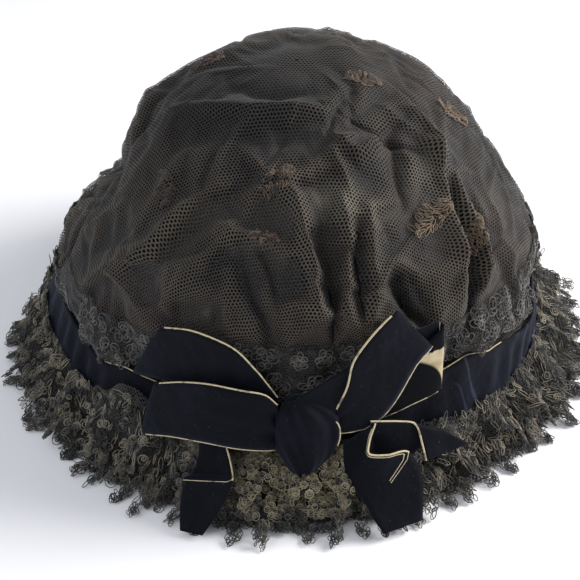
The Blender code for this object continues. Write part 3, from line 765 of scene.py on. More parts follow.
def mesh_in_mm(name, points, faces=()):
    """A mesh from points in millimetres."""
    mesh = bpy.data.meshes.new(name)
    mesh.from_pydata((np.reshape(points, (-1, 3)) * MM).tolist(), [], faces)
    return mesh


def sheet_mesh(name, points, cloth, wrap=False, **floats):
    """A mesh from a grid of points in millimetres, with the flat cloth's coordinates."""
    mesh = mesh_in_mm(name, points, grid_faces(*points.shape[:2], wrap).tolist())
    keep_attribute(mesh, "cloth", "FLOAT_VECTOR", cloth)
    for key, values in floats.items():
        keep_attribute(mesh, key, "FLOAT", values)
    return mesh


def flat_coordinates(points):
    """Distances along a grid's middle row, and down each of its columns."""
    middle = points[len(points) // 2]
    along = np.concatenate([[0.0], np.cumsum(np.linalg.norm(np.diff(middle, axis=0), axis=-1))])
    steps = np.linalg.norm(np.diff(points, axis=0), axis=-1)
    across = np.vstack([np.zeros(points.shape[1]), np.cumsum(steps, axis=0)])
    return np.stack(np.broadcast_arrays(along, across, 0.0), axis=-1)


# %% [markdown]
# ## The crown of net
#
# The large folds are those of the table above. Between them the net is creased at random, from
# two seeds: short creases in any direction, and gathers that run up from the band and die out.
# Then a short cloth simulation buckles it.

# %% Crown net and lining

# The buckling is worked this many times too large, in so many steps, and then moves each point
# by less than this many millimetres
BUCKLE_SCALE = 10.0
BUCKLE_STEPS = 20
BUCKLE_REACH = 4.0

# The points around the net, and those from its top to its foot
NET_COLUMNS = 480
NET_ROWS = 163

# How far the second net lies inside the first, and how much farther where it is open
INNER_GAP = 0.8
OPEN_GAP = 1.6

# How far inside the net's broad shape the lining lies over the crown, and how far at its foot
LINING_GAP = 8.6
LINING_FOOT_GAP = 4.6


def small_creases(azimuth, slant, count, seed):
    """Short soft creases scattered over the crown."""
    random = np.random.default_rng(seed)
    radius = 100.0
    place = slant_direction(azimuth, slant) * radius
    relief = np.zeros(place.shape[:-1])
    for _ in range(count):
        middle_azimuth = random.uniform(-180, 180)
        middle_slant = np.degrees(np.arccos(random.uniform(0.2, 0.98)))
        middle = slant_direction(middle_azimuth, middle_slant)
        turn = np.cross(middle, random.normal(size=3))
        heading = turn / np.linalg.norm(turn)
        sideways = np.cross(middle, heading)
        length, width = random.uniform(6.0, 17.0), random.uniform(1.3, 3.0)
        bend = random.uniform(-0.012, 0.012)
        offset = place - middle * radius
        along, aside = offset @ heading, offset @ sideways
        aside = aside - bend * along**2
        near = np.linalg.norm(offset, axis=-1) < 3 * length
        busy = 1.0 + 1.2 * np.exp(-(np.linalg.norm(middle - slant_direction(26.0, 44.0)) / 0.5) ** 2)
        rise = random.uniform(0.5, 1.3) * random.choice([-1.0, 1.0]) * busy
        relief += near * rise * np.exp(-((along / length) ** 2) - np.abs(aside / width) ** 1.25)
    return relief


def foot_gathers(azimuth, slant, count, seed):
    """Gathers that run up from the band, each a few millimetres wide."""
    random = np.random.default_rng(seed)
    relief = np.zeros(np.shape(azimuth))
    for _ in range(count):
        middle, drift = random.uniform(-180, 180), random.uniform(-0.22, 0.22)
        top, width = random.uniform(40, 68), random.uniform(1.1, 2.3)
        rise = random.uniform(0.5, 1.7) * random.choice([-1.0, 1.0])
        aside = (azimuth - middle - drift * (slant - 80.0) + 180.0) % 360.0 - 180.0
        relief += rise * smooth_step(top, top + 16.0, slant) * np.exp(-np.abs(aside / width) ** 1.6)
    return relief


def net_relief(azimuth, slant):
    relief = fold_relief(azimuth, slant, CROWN_FOLDS)
    small = small_creases(azimuth, slant, count=320, seed=7)
    small = small + foot_gathers(azimuth, slant, count=120, seed=11)
    return relief + small * (1.0 - smooth_step(76.0, 86.0, slant))


def dome_cloth(points, azimuth):
    """The cloth of a dome laid flat: distance from the top, at the same azimuth."""
    step = np.linalg.norm(np.diff(points, axis=0), axis=-1).mean(axis=1)
    reach = np.concatenate([[0.0], np.cumsum(step)])[:, None]
    return around(azimuth, reach, 0.0)


def blurred(values, passes):
    """A grid of the crown, or of vectors on it, averaged with its neighbours again and again."""
    for _ in range(passes):
        rim = np.concatenate([values[:1], values, values[-1:]])
        values = (rim[:-2] + rim[1:-1] + rim[2:]) / 3
        values = (np.roll(values, 1, axis=1) + values + np.roll(values, -1, axis=1)) / 3
    return values


def hold_points(obj, holds):
    """A vertex group with each point's hold, in steps of a hundredth."""
    group = obj.vertex_groups.new(name="hold")
    steps = np.round(holds.ravel(), 2)
    for step in np.unique(steps):
        group.add(np.nonzero(steps == step)[0].tolist(), float(step), "REPLACE")


def crumple(points, slant):
    """How the net moves as it buckles: its springs grow too long, and only the folds are kept.

    It is worked too large, because Blender's cloth is steadier then."""
    obj = new_object("crumple", sheet_mesh("crumple", points * BUCKLE_SCALE, points, wrap=True))
    hold_points(obj, np.maximum(0.09 + 0.91 * smooth_step(77.0, 86.0, slant), slant < 1.0))
    cloth = obj.modifiers.new("Cloth", "CLOTH")
    settings = cloth.settings
    settings.quality = 6
    settings.tension_stiffness = settings.compression_stiffness = 15.0
    settings.bending_stiffness = 0.08
    settings.vertex_group_mass = "hold"
    settings.shrink_min = -0.12
    settings.effector_weights.gravity = 0.0
    cloth.collision_settings.use_collision = False
    cloth.point_cache.frame_end = BUCKLE_STEPS
    for step in range(1, BUCKLE_STEPS + 1):
        bpy.context.scene.frame_set(step)
    made = obj.evaluated_get(bpy.context.evaluated_depsgraph_get()).to_mesh()
    places = np.empty(points.size, np.float32)
    made.vertices.foreach_get("co", places)
    bpy.data.objects.remove(obj)
    bpy.context.scene.frame_set(1)
    moved = places.reshape(points.shape) / MM / BUCKLE_SCALE - points
    moved = (moved - blurred(moved, 30)) * smooth_step(1.0, 16.0, slant)[..., None]
    size = np.linalg.norm(moved, axis=-1, keepdims=True)
    return moved * BUCKLE_REACH * np.tanh(size / BUCKLE_REACH) / np.maximum(size, 1e-6)


def twice_as_fine(values):
    """A grid of the crown with a new column and a new row between any two."""
    rows, columns = values.shape[:2]
    wide = np.stack([values, (values + np.roll(values, -1, axis=1)) / 2], axis=2)
    wide = wide.reshape(rows, 2 * columns, 3)
    tall = np.stack([wide[:-1], (wide[:-1] + wide[1:]) / 2], axis=1).reshape(-1, 2 * columns, 3)
    return blurred(np.concatenate([tall, wide[-1:]]), 1)


def net_grid():
    """The net's points, crumpled, with their azimuths and slants before that."""
    columns = np.linspace(-180, 180, NET_COLUMNS, endpoint=False)
    azimuth, slant = np.meshgrid(columns, np.linspace(0.2, 92.0, NET_ROWS))
    points = crown_point(azimuth, slant, np.zeros_like(slant), net_relief(azimuth, slant))
    points = points + twice_as_fine(crumple(points[::2, ::2], slant[::2, ::2]))
    return points, azimuth, slant


NET_POINTS, NET_AZIMUTHS, NET_SLANTS = net_grid()
NET_TREE = BVHTree.FromPolygons(
    NET_POINTS.reshape(-1, 3).tolist(), grid_faces(*NET_AZIMUTHS.shape, True).tolist()
)


def over_net(azimuth, slant, outwards):
    """Points this far outside the crumpled net, seen from the crown's middle."""
    azimuth, slant, outwards = np.broadcast_arrays(azimuth, slant, outwards)
    direction = slant_direction(azimuth, slant)
    middle = Vector(CROWN_MIDDLE)
    reach = [NET_TREE.ray_cast(middle, Vector(way))[3] for way in direction.reshape(-1, 3)]
    reach = np.array(reach, float).reshape(azimuth.shape) + outwards
    return CROWN_MIDDLE + direction * reach[..., None]


# Patches of painted light and painted shade on the net: azimuth, slant, radius in millimetres,
# and how much lighter (or darker, below 0) the net is painted
NET_PAINTED_LIGHT_AND_SHADE = (
    (-60.0, 20.0, 32.0, -0.8),
    (0.0, 6.0, 34.0, -0.6),
    (-38.0, 26.0, 10.0, 0.7),
    (28.0, 27.0, 9.0, -0.5),
    (14.0, 33.0, 10.0, 0.8),
    (24.0, 38.0, 8.0, 0.5),
    (48.0, 33.0, 12.0, 0.7),
    (52.0, 46.0, 10.0, 0.8),
    (88.0, 42.0, 26.0, -0.75),
    (92.0, 62.0, 18.0, -0.8),
    (-20.0, 50.0, 14.0, -0.35),
    (13.0, 66.0, 7.0, 0.6),
)


# Painted light and painted shade on the net, summed from its table.
def patches(azimuth, slant):
    crown_radius = 105.0
    place = slant_direction(azimuth, slant) * crown_radius
    total = np.zeros(place.shape[:-1])
    for middle_azimuth, middle_slant, radius, share in NET_PAINTED_LIGHT_AND_SHADE:
        middle = slant_direction(middle_azimuth, middle_slant) * crown_radius
        total += share * np.exp(-((np.linalg.norm(place - middle, axis=-1) / radius) ** 2))
    return total


def make_crown_net():
    reach = np.linalg.norm(NET_POINTS - CROWN_MIDDLE, axis=-1)
    cloth = dome_cloth(NET_POINTS, NET_AZIMUTHS)
    # The fold is how far the net stands out of its smoothed shape. The net's material turns it into
    # painted light on the crests and painted shade in the hollows.
    fold = reach - blurred(reach, 50)
    # Patches of painted light and painted shade, from the table above.
    patch = patches(NET_AZIMUTHS, NET_SLANTS)
    mesh = sheet_mesh("crown_net_cloth", NET_POINTS, cloth, wrap=True, fold=fold, patch=patch)
    return add_piece("crown_net_cloth", mesh, [NET], ["crown_net"])


def make_inner_layer():
    """A second net just inside the first, with open places at the left side."""
    azimuth, slant = NET_AZIMUTHS[::2, ::2], NET_SLANTS[::2, ::2]
    left = smooth_step(-150.0, -128.0, azimuth) * (1.0 - smooth_step(-66.0, -50.0, azimuth))
    left = left * smooth_step(34.0, 44.0, slant) * 0.95
    inwards = slant_direction(azimuth, slant) * (INNER_GAP + OPEN_GAP * left)[..., None]
    points = NET_POINTS[::2, ::2] - inwards
    mesh = sheet_mesh("crown_inner_net", points, dome_cloth(points, azimuth), wrap=True, open=left)
    return add_piece("crown_inner_net", mesh, [INNER_NET])


def make_crown_lining():
    columns, rows = np.linspace(-180, 180, 144, endpoint=False), np.linspace(0.2, 93.0, 60)
    azimuth, slant = np.meshgrid(columns, rows)
    broad = [fold for fold in CROWN_FOLDS if fold.half_width > BROAD_FOLD]
    gap = LINING_GAP + (LINING_FOOT_GAP - LINING_GAP) * smooth_step(66.0, 82.0, slant)
    points = crown_point(azimuth, slant, -gap, fold_relief(azimuth, slant, broad))
    mesh = sheet_mesh("crown_lining_cloth", points, dome_cloth(points, azimuth), wrap=True)
    return add_piece("crown_lining_cloth", mesh, [LINING], ["crown_lining"])


crown_net = make_crown_net()
inner_net = make_inner_layer()
crown_lining = make_crown_lining()

# %% [markdown]
# ## Looped thread
#
# Lace is drawn with loops of thread. One node group puts a loop on every point of a carrier
# mesh: the point says which way the loop faces, which way it runs, and how long and wide it is.

# %% A node group that works loops of thread


class Builder(Graph):
    """The nodes of one Geometry Nodes group."""

    def __init__(self, name):
        self.tree = bpy.data.node_groups.new(name, "GeometryNodeTree")

    def input(self, name, kind, default=None):
        socket = self.tree.interface.new_socket(name, in_out="INPUT", socket_type=kind)
        if default is not None:
            socket.default_value = default

    def named(self, name):
        """A vector attribute of the carrier's points."""
        settings = {"data_type": "FLOAT_VECTOR"}
        return self.add("GeometryNodeInputNamedAttribute", settings, {"Name": name}, "Attribute")


def make_loop_group():
    group = Builder("thread_loops")
    group.input("Geometry", "NodeSocketGeometry")
    group.input("Corners", "NodeSocketInt", 9)
    group.input("Thread Radius", "NodeSocketFloat", 0.0003)
    group.input("Size Spread", "NodeSocketFloat", 0.2)
    group.input("Tilt", "NodeSocketFloat", 0.35)
    group.input("Seed", "NodeSocketInt", 1)
    group.input("Material", "NodeSocketMaterial")
    group.tree.interface.new_socket("Geometry", in_out="OUTPUT", socket_type="NodeSocketGeometry")
    inputs = group.tree.nodes.new("NodeGroupInput")
    read = {socket.name: Wire(group, socket) for socket in inputs.outputs if socket.name}
    ring = group.add(
        "GeometryNodeCurvePrimitiveCircle", {}, {"Resolution": read["Corners"], "Radius": 1.0}
    )
    ring = group.add(
        "GeometryNodeInstanceOnPoints", {}, {"Points": read["Geometry"], "Instance": ring}
    )
    instances = ring.socket.node
    turned = group.add(
        "FunctionNodeAlignRotationToVector", {"axis": "Z"}, {"Vector": group.named("facing")}
    )
    turned = group.add(
        "FunctionNodeAlignRotationToVector",
        {"axis": "X", "pivot_axis": "Z"},
        {"Rotation": turned, "Vector": group.named("running")},
    )
    tilt = group.add(
        "FunctionNodeRandomValue",
        {"data_type": "FLOAT_VECTOR"},
        {
            0: group.vector("MULTIPLY", read["Tilt"], (-1.0, -1.0, -1.0)),
            1: group.vector("MULTIPLY", read["Tilt"], (1.0, 1.0, 1.0)),
            "Seed": read["Seed"],
        },
    )
    tilt = group.add("FunctionNodeEulerToRotation", {}, {0: tilt})
    turned = group.add(
        "FunctionNodeRotateRotation", {"rotation_space": "LOCAL"}, {0: turned, 1: tilt}
    )
    spread = group.add(
        "FunctionNodeRandomValue",
        {"data_type": "FLOAT"},
        {2: 1.0 - read["Size Spread"], 3: 1.0 + read["Size Spread"], "Seed": read["Seed"] + 1.0},
        1,
    )
    size = group.vector("SCALE", group.named("size"), output=0)
    group.fill(size.socket.node, {"Scale": spread})
    group.fill(instances, {"Rotation": turned, "Scale": size})
    loops = group.add("GeometryNodeRealizeInstances", {}, {0: ring})
    round_thread = group.add(
        "GeometryNodeCurvePrimitiveCircle", {}, {"Resolution": 3, "Radius": read["Thread Radius"]}
    )
    tube = group.add(
        "GeometryNodeCurveToMesh", {}, {"Curve": loops, "Profile Curve": round_thread}
    )
    tube = group.add("GeometryNodeSetMaterial", {}, {"Geometry": tube, "Material": read["Material"]})
    group.tree.links.new(tube.socket, group.tree.nodes.new("NodeGroupOutput").inputs[0])
    return group.tree


LOOPS = make_loop_group()


def lie_on_floor(mesh):
    """Thread that would dip into the floor is pressed to a thin layer on it."""
    places = np.empty(len(mesh.vertices) * 3, np.float32)
    mesh.vertices.foreach_get("co", places)
    height, layer = places[2::3], 0.5 * MM
    low = height < layer
    height[low] = layer * np.exp(height[low] / layer - 1.0)
    mesh.vertices.foreach_set("co", places)


def work_loops(name, places, facing, running, size, material, slot, **settings):
    """Thread loops at these places, in millimetres, as one plain mesh."""
    mesh = mesh_in_mm(name, places)
    keep_attribute(mesh, "facing", "FLOAT_VECTOR", facing)
    keep_attribute(mesh, "running", "FLOAT_VECTOR", running)
    keep_attribute(mesh, "size", "FLOAT_VECTOR", np.asarray(size) * MM)
    carrier = new_object(name, mesh)
    modifier = carrier.modifiers.new("Loops", "NODES")
    modifier.node_group = LOOPS
    settings["Material"] = material
    for item in LOOPS.interface.items_tree:
        key = item.name.replace(" ", "_")
        if item.in_out == "INPUT" and key in settings:
            modifier[item.identifier] = settings[key]
    made = carrier.evaluated_get(bpy.context.evaluated_depsgraph_get())
    plain = bpy.data.meshes.new_from_object(made)
    bpy.data.objects.remove(carrier)
    lie_on_floor(plain)
    return add_piece(name, plain, [])


def surface_frame(place, azimuth, across, step=(0.3, 0.02)):
    """Points of a surface with their outward normals and the direction in which across grows."""
    here = place(azimuth, across)
    right = place(azimuth + step[0], across) - here
    down = place(azimuth, across + step[1]) - here
    return here, unit(np.cross(down, right)), unit(down)


def turn_about(vector, axis, angle):
    """Unit vectors turned about unit axes that stand square to them."""
    angle = np.asarray(angle)[..., None]
    return vector * np.cos(angle) + np.cross(axis, vector) * np.sin(angle)


# %% [markdown]
# ## The lace border
#
# The crown's lace border lies just outside the net. Its lower edge is scalloped, and two rows of
# flowers are worked on it in thread, fewer at the left, where the lace is worn.

# %% Border of lace

FLOWERS_IN_A_ROW = 56

# The border's own radius and width, which turn a flower's millimetres into azimuth and across
BORDER_RADIUS = 97.0
BORDER_WIDTH = 21.0


def border_place(azimuth, across):
    """A point on the border, across 0 at its upper edge and 1 at its scalloped lower edge."""
    top_slant, bottom_slant = table_at(BORDER_ROWS, azimuth)
    lobe = np.abs(np.sin(np.radians(azimuth) * 26.0 + 0.4 * np.sin(np.radians(azimuth) * 7.0)))
    slant = top_slant + (bottom_slant + 0.4 - top_slant - 2.2 * (1.0 - lobe)) * across
    flutter = 0.9 + 1.2 * across**2 * (0.5 + 0.5 * np.sin(np.radians(azimuth) * 41.0))
    return over_net(azimuth, slant, flutter)


def make_border():
    azimuth, across = np.meshgrid(np.linspace(-180, 180, 901), np.linspace(0, 1, 18))
    points = border_place(azimuth, across)
    worn = (1.0 - smooth_step(-78.0, -62.0, azimuth)) * smooth_step(0.1, 0.5, 1 - across)
    edge = np.maximum(smooth_step(0.5, 1.0, 1 - across) * 0.8, worn)
    mesh = sheet_mesh("border_lace_sheet", points, flat_coordinates(points), edge=edge)
    return add_piece(
        "border_lace_sheet", mesh, [BORDER_LACE], ["crown_lace_border"]
    )


def border_motifs(random):
    """Flowers of double petals round a ring, as azimuth, across, turn, length and width."""
    rows = []
    for level, shift in ((0.26, 0.0), (0.72, 0.5)):
        for index in range(FLOWERS_IN_A_ROW):
            middle = (index + shift) * 360.0 / FLOWERS_IN_A_ROW - 180.0 + random.uniform(-1.3, 1.3)
            if middle < -60.0 and (level < 0.5 or random.random() < 0.5):
                continue
            spin, grown = random.uniform(0, 2 * np.pi), random.uniform(0.75, 1.2)
            rows.append((middle, level, 0.0, 0.0, spin, 0.9, 0.9))
            for petal in range(6):
                angle = spin + petal * np.pi / 3 + random.normal(0, 0.2)
                for share in (1.0, 0.55):
                    reach = grown * (1.1 + 1.9 * share)
                    down, right = reach * np.cos(angle), reach * np.sin(angle)
                    long, wide = 2.0 * share * grown, 1.45 * share * grown
                    rows.append((middle, level, down, right, angle, long, wide))
    azimuth, across, down, right, angle, long, wide = np.array(rows).T
    azimuth = azimuth + np.degrees(right / BORDER_RADIUS)
    return azimuth, np.clip(across + down / BORDER_WIDTH, 0.01, 1.02), angle, long, wide


def make_border_leaves():
    """The flowers, and small loops side by side along the scalloped edge."""
    azimuth, across, angle, long, wide = border_motifs(np.random.default_rng(23))
    edge = np.arange(-180.0, 180.0, 1.3)
    azimuth, across = np.append(azimuth, edge), np.append(across, np.full(len(edge), 0.985))
    angle, long = np.append(angle, np.zeros(len(edge))), np.append(long, np.full(len(edge), 1.2))
    wide = np.append(wide, np.full(len(edge), 0.8))
    here, facing, down = surface_frame(border_place, azimuth, across)
    running = turn_about(down, facing, -angle)
    return work_loops(
        "border_lace_leaves", here + facing * 0.3, facing, running,
        np.stack([long, wide, np.ones(len(long))], -1), BORDER_THREAD, "black_lace",
        Corners=9, Thread_Radius=0.00024, Size_Spread=0.12, Tilt=0.12, Seed=5,
    )


border = make_border()
border_leaves = make_border_leaves()

# %% [markdown]
# ## The gathered ruffle
#
# Three tiers of gathered lace. Each is a frilled sheet with long strands of thread and shells
# of rings on it, and its edge runs out in narrow fingers of loops.

# %% Ruffle tiers

Tier = namedtuple("Tier", "name replaced rows locks seed strands shells scales fingers")

# How many scales are side by side at the front, and the degrees from one to the next
SCALE_COLUMNS = 32
SCALE_STEP = 1.45

# The ruffle's outer radius, in millimetres
RIM_RADIUS = 126.0

# Each row of a tier is (share, height, wave): the share of the way from the band's foot to the
# rim, the height there, and how far the frills move.
TIERS = (
    Tier(
        "ruffle_upper",
        ("lace_ruffle_upper",),
        ((0.0, 24.0, 1.8), (0.08, 21.0, 1.6), (0.22, 19.0, 2.0), (0.42, 15.0, 2.8), (0.6, 11.0, 3.2)),
        locks=32, seed=31, strands=(8, 165), shells=230, scales=12, fingers=50,
    ),
    Tier(
        "ruffle_middle",
        (),
        ((0.1, 9.0, 0.0), (0.34, 10.5, 0.8), (0.56, 8.4, 2.0), (0.75, 5.8, 2.2)),
        locks=36, seed=47, strands=(6, 210), shells=200, scales=8, fingers=52,
    ),
    Tier(
        "ruffle_lower",
        ("lace_ruffle_lower",),
        ((-0.05, 6.5, 0.0), (0.3, 5.5, 0.4), (0.6, 3.2, 1.0), (0.82, 1.8, 0.9)),
        locks=42, seed=59, strands=(5, 210), shells=170, scales=3, fingers=62,
    ),
)


def wandering(azimuth, tier):
    """The angle with small drifts, so that no two locks of a tier are alike."""
    angle = np.radians(azimuth)
    return angle + 0.022 * np.sin(5 * angle + tier.seed) + 0.014 * np.sin(13 * angle - tier.seed)


def frill(azimuth, tier):
    """The in and out of a tier's gathers, from -1 to 1, and highest near each lock's middle."""
    angle = wandering(azimuth, tier)
    small = np.sin((2 * tier.locks + 19) * angle + tier.seed)
    return 0.75 * np.cos(tier.locks * angle + tier.seed) + 0.25 * small


def tuck(azimuth):
    """How far the ruffle is drawn in: at the back left, and a little either side of the front."""
    behind = 14.0 * np.exp(-((azimuth + 124.0) / 28.0) ** 2)
    left = 3.5 * np.exp(-((azimuth + 48.0) / 18.0) ** 2)
    right = 5.0 * np.exp(-((azimuth - 38.0) / 17.0) ** 2)
    return behind + left + right


def tier_place(tier, azimuth, across):
    rows = np.array(tier.rows, float)
    steps = across * (len(rows) - 1)
    share, height, wave = (np.interp(steps, np.arange(len(rows)), column) for column in rows.T)
    foot_radius = table_at(BAND_ROWS, azimuth)[2]
    gathers = frill(azimuth, tier)
    angle = wandering(azimuth, tier)
    lobe = np.abs(np.cos(tier.locks / 2 * angle + tier.seed / 2)) ** 0.7
    uneven = 1.5 * np.sin(9 * angle + tier.seed) + 1.2 * np.sin(23 * angle)
    radius = foot_radius + (RIM_RADIUS - foot_radius) * share + 0.4 * wave * gathers
    radius = radius + (uneven - 5.0 * (1.0 - lobe)) * across**2.5 - tuck(azimuth) * across
    upper = float(tier.name == "ruffle_upper")
    front = upper * np.exp(-((azimuth - 2.0) / 24.0) ** 2) * np.sin(np.pi * np.clip(share, 0, 1)) ** 2
    flap = upper * np.exp(-((azimuth + 40.0) / 6.0) ** 2) * (1.0 - across) ** 2
    lumps = 3.0 * np.cos(2 * np.pi * (azimuth + 5.0) / 11.0)
    lumps = lumps * np.exp(-((azimuth / 18.0) ** 2)) * across
    height = height + wave * gathers + 5.0 * front + 14.0 * flap + upper * lumps
    return around(azimuth, radius, np.maximum(height, 0.6))


def tier_frame(tier, azimuth, across):
    return surface_frame(lambda turn, share: tier_place(tier, turn, share), azimuth, across)


def make_tier(tier):
    azimuth, across = np.meshgrid(np.linspace(-180, 180, 721), np.linspace(0, 1, 17))
    points = tier_place(tier, azimuth, across)
    name, edge = tier.name + "_sheet", smooth_step(0.72, 1.0, across) * 0.85
    mesh = sheet_mesh(name, points, flat_coordinates(points), edge=edge)
    return add_piece(name, mesh, [RUFFLE_LACE], tier.replaced)


def tier_strands(tier, random):
    """Long loops that lie along a tier's gathers and swirl a little from side to side."""
    rows, columns = tier.strands
    row, column = (index.ravel() for index in np.indices(tier.strands))
    azimuth = (column + 0.5 * (row % 2) + random.normal(0, 0.3, len(row))) * 360.0 / columns - 180.0
    share = np.where(np.abs(azimuth) < 23.0, 0.1, np.where(np.abs(azimuth + 60.0) < 42.0, 0.7, 1.0))
    kept = random.random(len(row)) < share
    row, azimuth = row[kept], azimuth[kept]
    count = len(row)
    across = np.clip((row + 0.6 + random.normal(0, 0.35, count)) / rows, 0.03, 1.0)
    here, facing, down = tier_frame(tier, azimuth, across)
    angle = np.radians(azimuth)
    swirl = 0.4 * np.sin(19 * angle + 5 * across + tier.seed) + 0.3 * np.sin(43 * angle - 4 * across)
    running = turn_about(down, facing, swirl + random.normal(0.0, 0.35, count))
    long = random.uniform(1.4, 3.6, count)
    size = np.stack([long, random.uniform(0.4, 0.85, count), np.ones(count)], -1)
    return here + facing * random.uniform(0.2, 1.3, (count, 1)), facing, running, size


def tier_shells(tier, random):
    """Shells of three rings inside each other: many at the left, and laid like scales in front."""
    row, column = (index.ravel() for index in np.indices((tier.scales, SCALE_COLUMNS)))
    azimuth = (column + 0.5 * (row % 2) - SCALE_COLUMNS / 2) * SCALE_STEP
    across = 0.14 + 0.86 * (row + 0.5) / tier.scales
    front = np.ones(len(row) + tier.shells)
    front[len(row):] = 0.0
    anywhere = random.uniform(-180, 180, tier.shells)
    anywhere[: tier.shells // 2] = random.uniform(-100, -18, tier.shells // 2)
    azimuth = np.append(azimuth, anywhere) + random.normal(0, 0.35, len(front))
    across = np.append(across, random.uniform(0.1, 1.0, tier.shells))
    across = np.clip(across + random.normal(0, 0.02, len(front)), 0.0, 1.0)
    here, facing, down = tier_frame(tier, azimuth, across)
    loose = random.uniform(-1.8, 1.8, len(front))
    spin = np.where(front > 0, random.normal(0.0, 0.3, len(front)), loose)
    running = turn_about(down, facing, spin)
    radius = np.where(front > 0, 1.5, random.uniform(1.1, 2.1, len(front)))
    lift = random.uniform(0.6, 1.5, len(front)) + 0.9 * front
    hung = front[:, None] * 0.6
    facing = unit(facing * (1 - hung) + around(azimuth, 0.8, 0.6) * hung)
    running = unit(running - facing * np.sum(running * facing, axis=1, keepdims=True))
    groups = []
    for share in (1.0, 0.66, 0.34):
        size = np.stack([radius * share, radius * share, np.ones(len(front))], -1)
        middle = here + facing * (lift + 0.2 * (1 - share))[:, None]
        middle = middle - running * (radius * (1 - share) * 0.7)[:, None]
        groups.append((middle, facing, running, size))
    return [np.vstack(column) for column in zip(*groups)]


def tier_fingers(tier, random):
    """Tufts that stand out from the tier's edge: narrow loops that draw together at the tip."""
    count, loops = tier.fingers, 18
    azimuth = np.linspace(-180, 180, count, endpoint=False) + random.uniform(-2.2, 2.2, count)
    here, facing, down = tier_frame(tier, azimuth, np.full(count, 0.92))
    down = turn_about(down, facing, random.normal(0.0, 0.25, count))
    room = RIM_RADIUS + 1.5 - tuck(azimuth) - np.linalg.norm(here[:, :2], axis=1)
    length = np.clip(room, 4.0, 14.0) * random.uniform(0.6, 1.15, count)
    once = (here, facing, down, length)
    here, facing, down, length = (np.repeat(value, loops, axis=0) for value in once)
    total = count * loops
    step, side = random.uniform(0.0, 1.0, total) ** 0.8, random.uniform(-1.0, 1.0, total)
    reach = length * step
    aside = side * (3.0 - 1.3 * step)
    middle = here + down * reach[:, None] + np.cross(facing, down) * aside[:, None]
    middle = middle - facing * (0.012 * reach**2)[:, None]
    middle[:, 2] = np.maximum(middle[:, 2] + random.uniform(-0.2, 1.2, total), 1.7)
    running = turn_about(down, facing, random.normal(0.0, 0.45, total) - 0.3 * side)
    long = random.uniform(0.9, 1.6, total) + 0.8 * np.abs(middle[:, 0]) / RIM_RADIUS
    size = np.stack([long, random.uniform(0.5, 0.95, total), np.ones(total)], -1)
    return middle, facing, running, size


def make_tier_threads(tier):
    random = np.random.default_rng(tier.seed)
    made = [kind(tier, random) for kind in (tier_strands, tier_shells, tier_fingers)]
    columns = [np.vstack(parts) for parts in zip(*made)]
    return work_loops(
        tier.name + "_threads", *columns, RUFFLE_THREAD, "black_lace",
        Corners=8, Thread_Radius=0.0002, Size_Spread=0.2, Tilt=0.35, Seed=tier.seed,
    )


ruffle = {tier.name: (make_tier(tier), make_tier_threads(tier)) for tier in TIERS}

# %% [markdown]
# ## Velvet ribbon
#
# Each ribbon runs between two splines, the stations of its two edges. It is a thin closed strip:
# velvet in front and behind, with the cream satin of its back where the table below says so, and
# a corded cream selvedge along the lines that the table gives.

# %% Ribbons of the bow

RIBBON_THICKNESS = 0.7
SELVEDGE_RADIUS = 0.42
CORD_CORNERS = 6
TINY = 1e-9

# A ribbon's back shows satin from start to stop of its run, which goes from 0 to 1, and below a
# height. Stop moves by shift from the ribbon's first edge to its second. A start past 1 is none.
Satin = namedtuple("Satin", "start stop shift height")
NO_SATIN = Satin(2.0, 2.0, 0.0, 0.0)


def tube_points(line, radius):
    """A ring of points about each point of a line."""
    along = unit(np.gradient(line, axis=0), TINY)
    first = unit(np.cross(along, unit(line * [1.0, 1.0, 0.0])), TINY)
    second = np.cross(along, first)
    turn = np.linspace(0, 2 * np.pi, CORD_CORNERS, endpoint=False)
    ring = first[:, None] * np.cos(turn)[:, None] + second[:, None] * np.sin(turn)[:, None]
    return line[:, None] + ring * radius


def grid_line(front, path):
    """Points on a grid along a path of (run, share), each from 0 to 1."""
    path = np.array(path, float)
    t = np.linspace(0, len(path) - 1, 24 * (len(path) - 1) + 1)
    run = np.interp(t, np.arange(len(path)), path[:, 0]) * (front.shape[0] - 1)
    share = np.interp(t, np.arange(len(path)), path[:, 1]) * (front.shape[1] - 1)
    row = np.clip(run.astype(int), 0, front.shape[0] - 2)
    column = np.clip(share.astype(int), 0, front.shape[1] - 2)
    down, right = (run - row)[:, None], (share - column)[:, None]
    upper = front[row, column] * (1 - right) + front[row, column + 1] * right
    lower = front[row + 1, column] * (1 - right) + front[row + 1, column + 1] * right
    return upper * (1 - down) + lower * down


def grid_normals(grid):
    return unit(np.cross(np.gradient(grid, axis=0), np.gradient(grid, axis=1)), TINY)


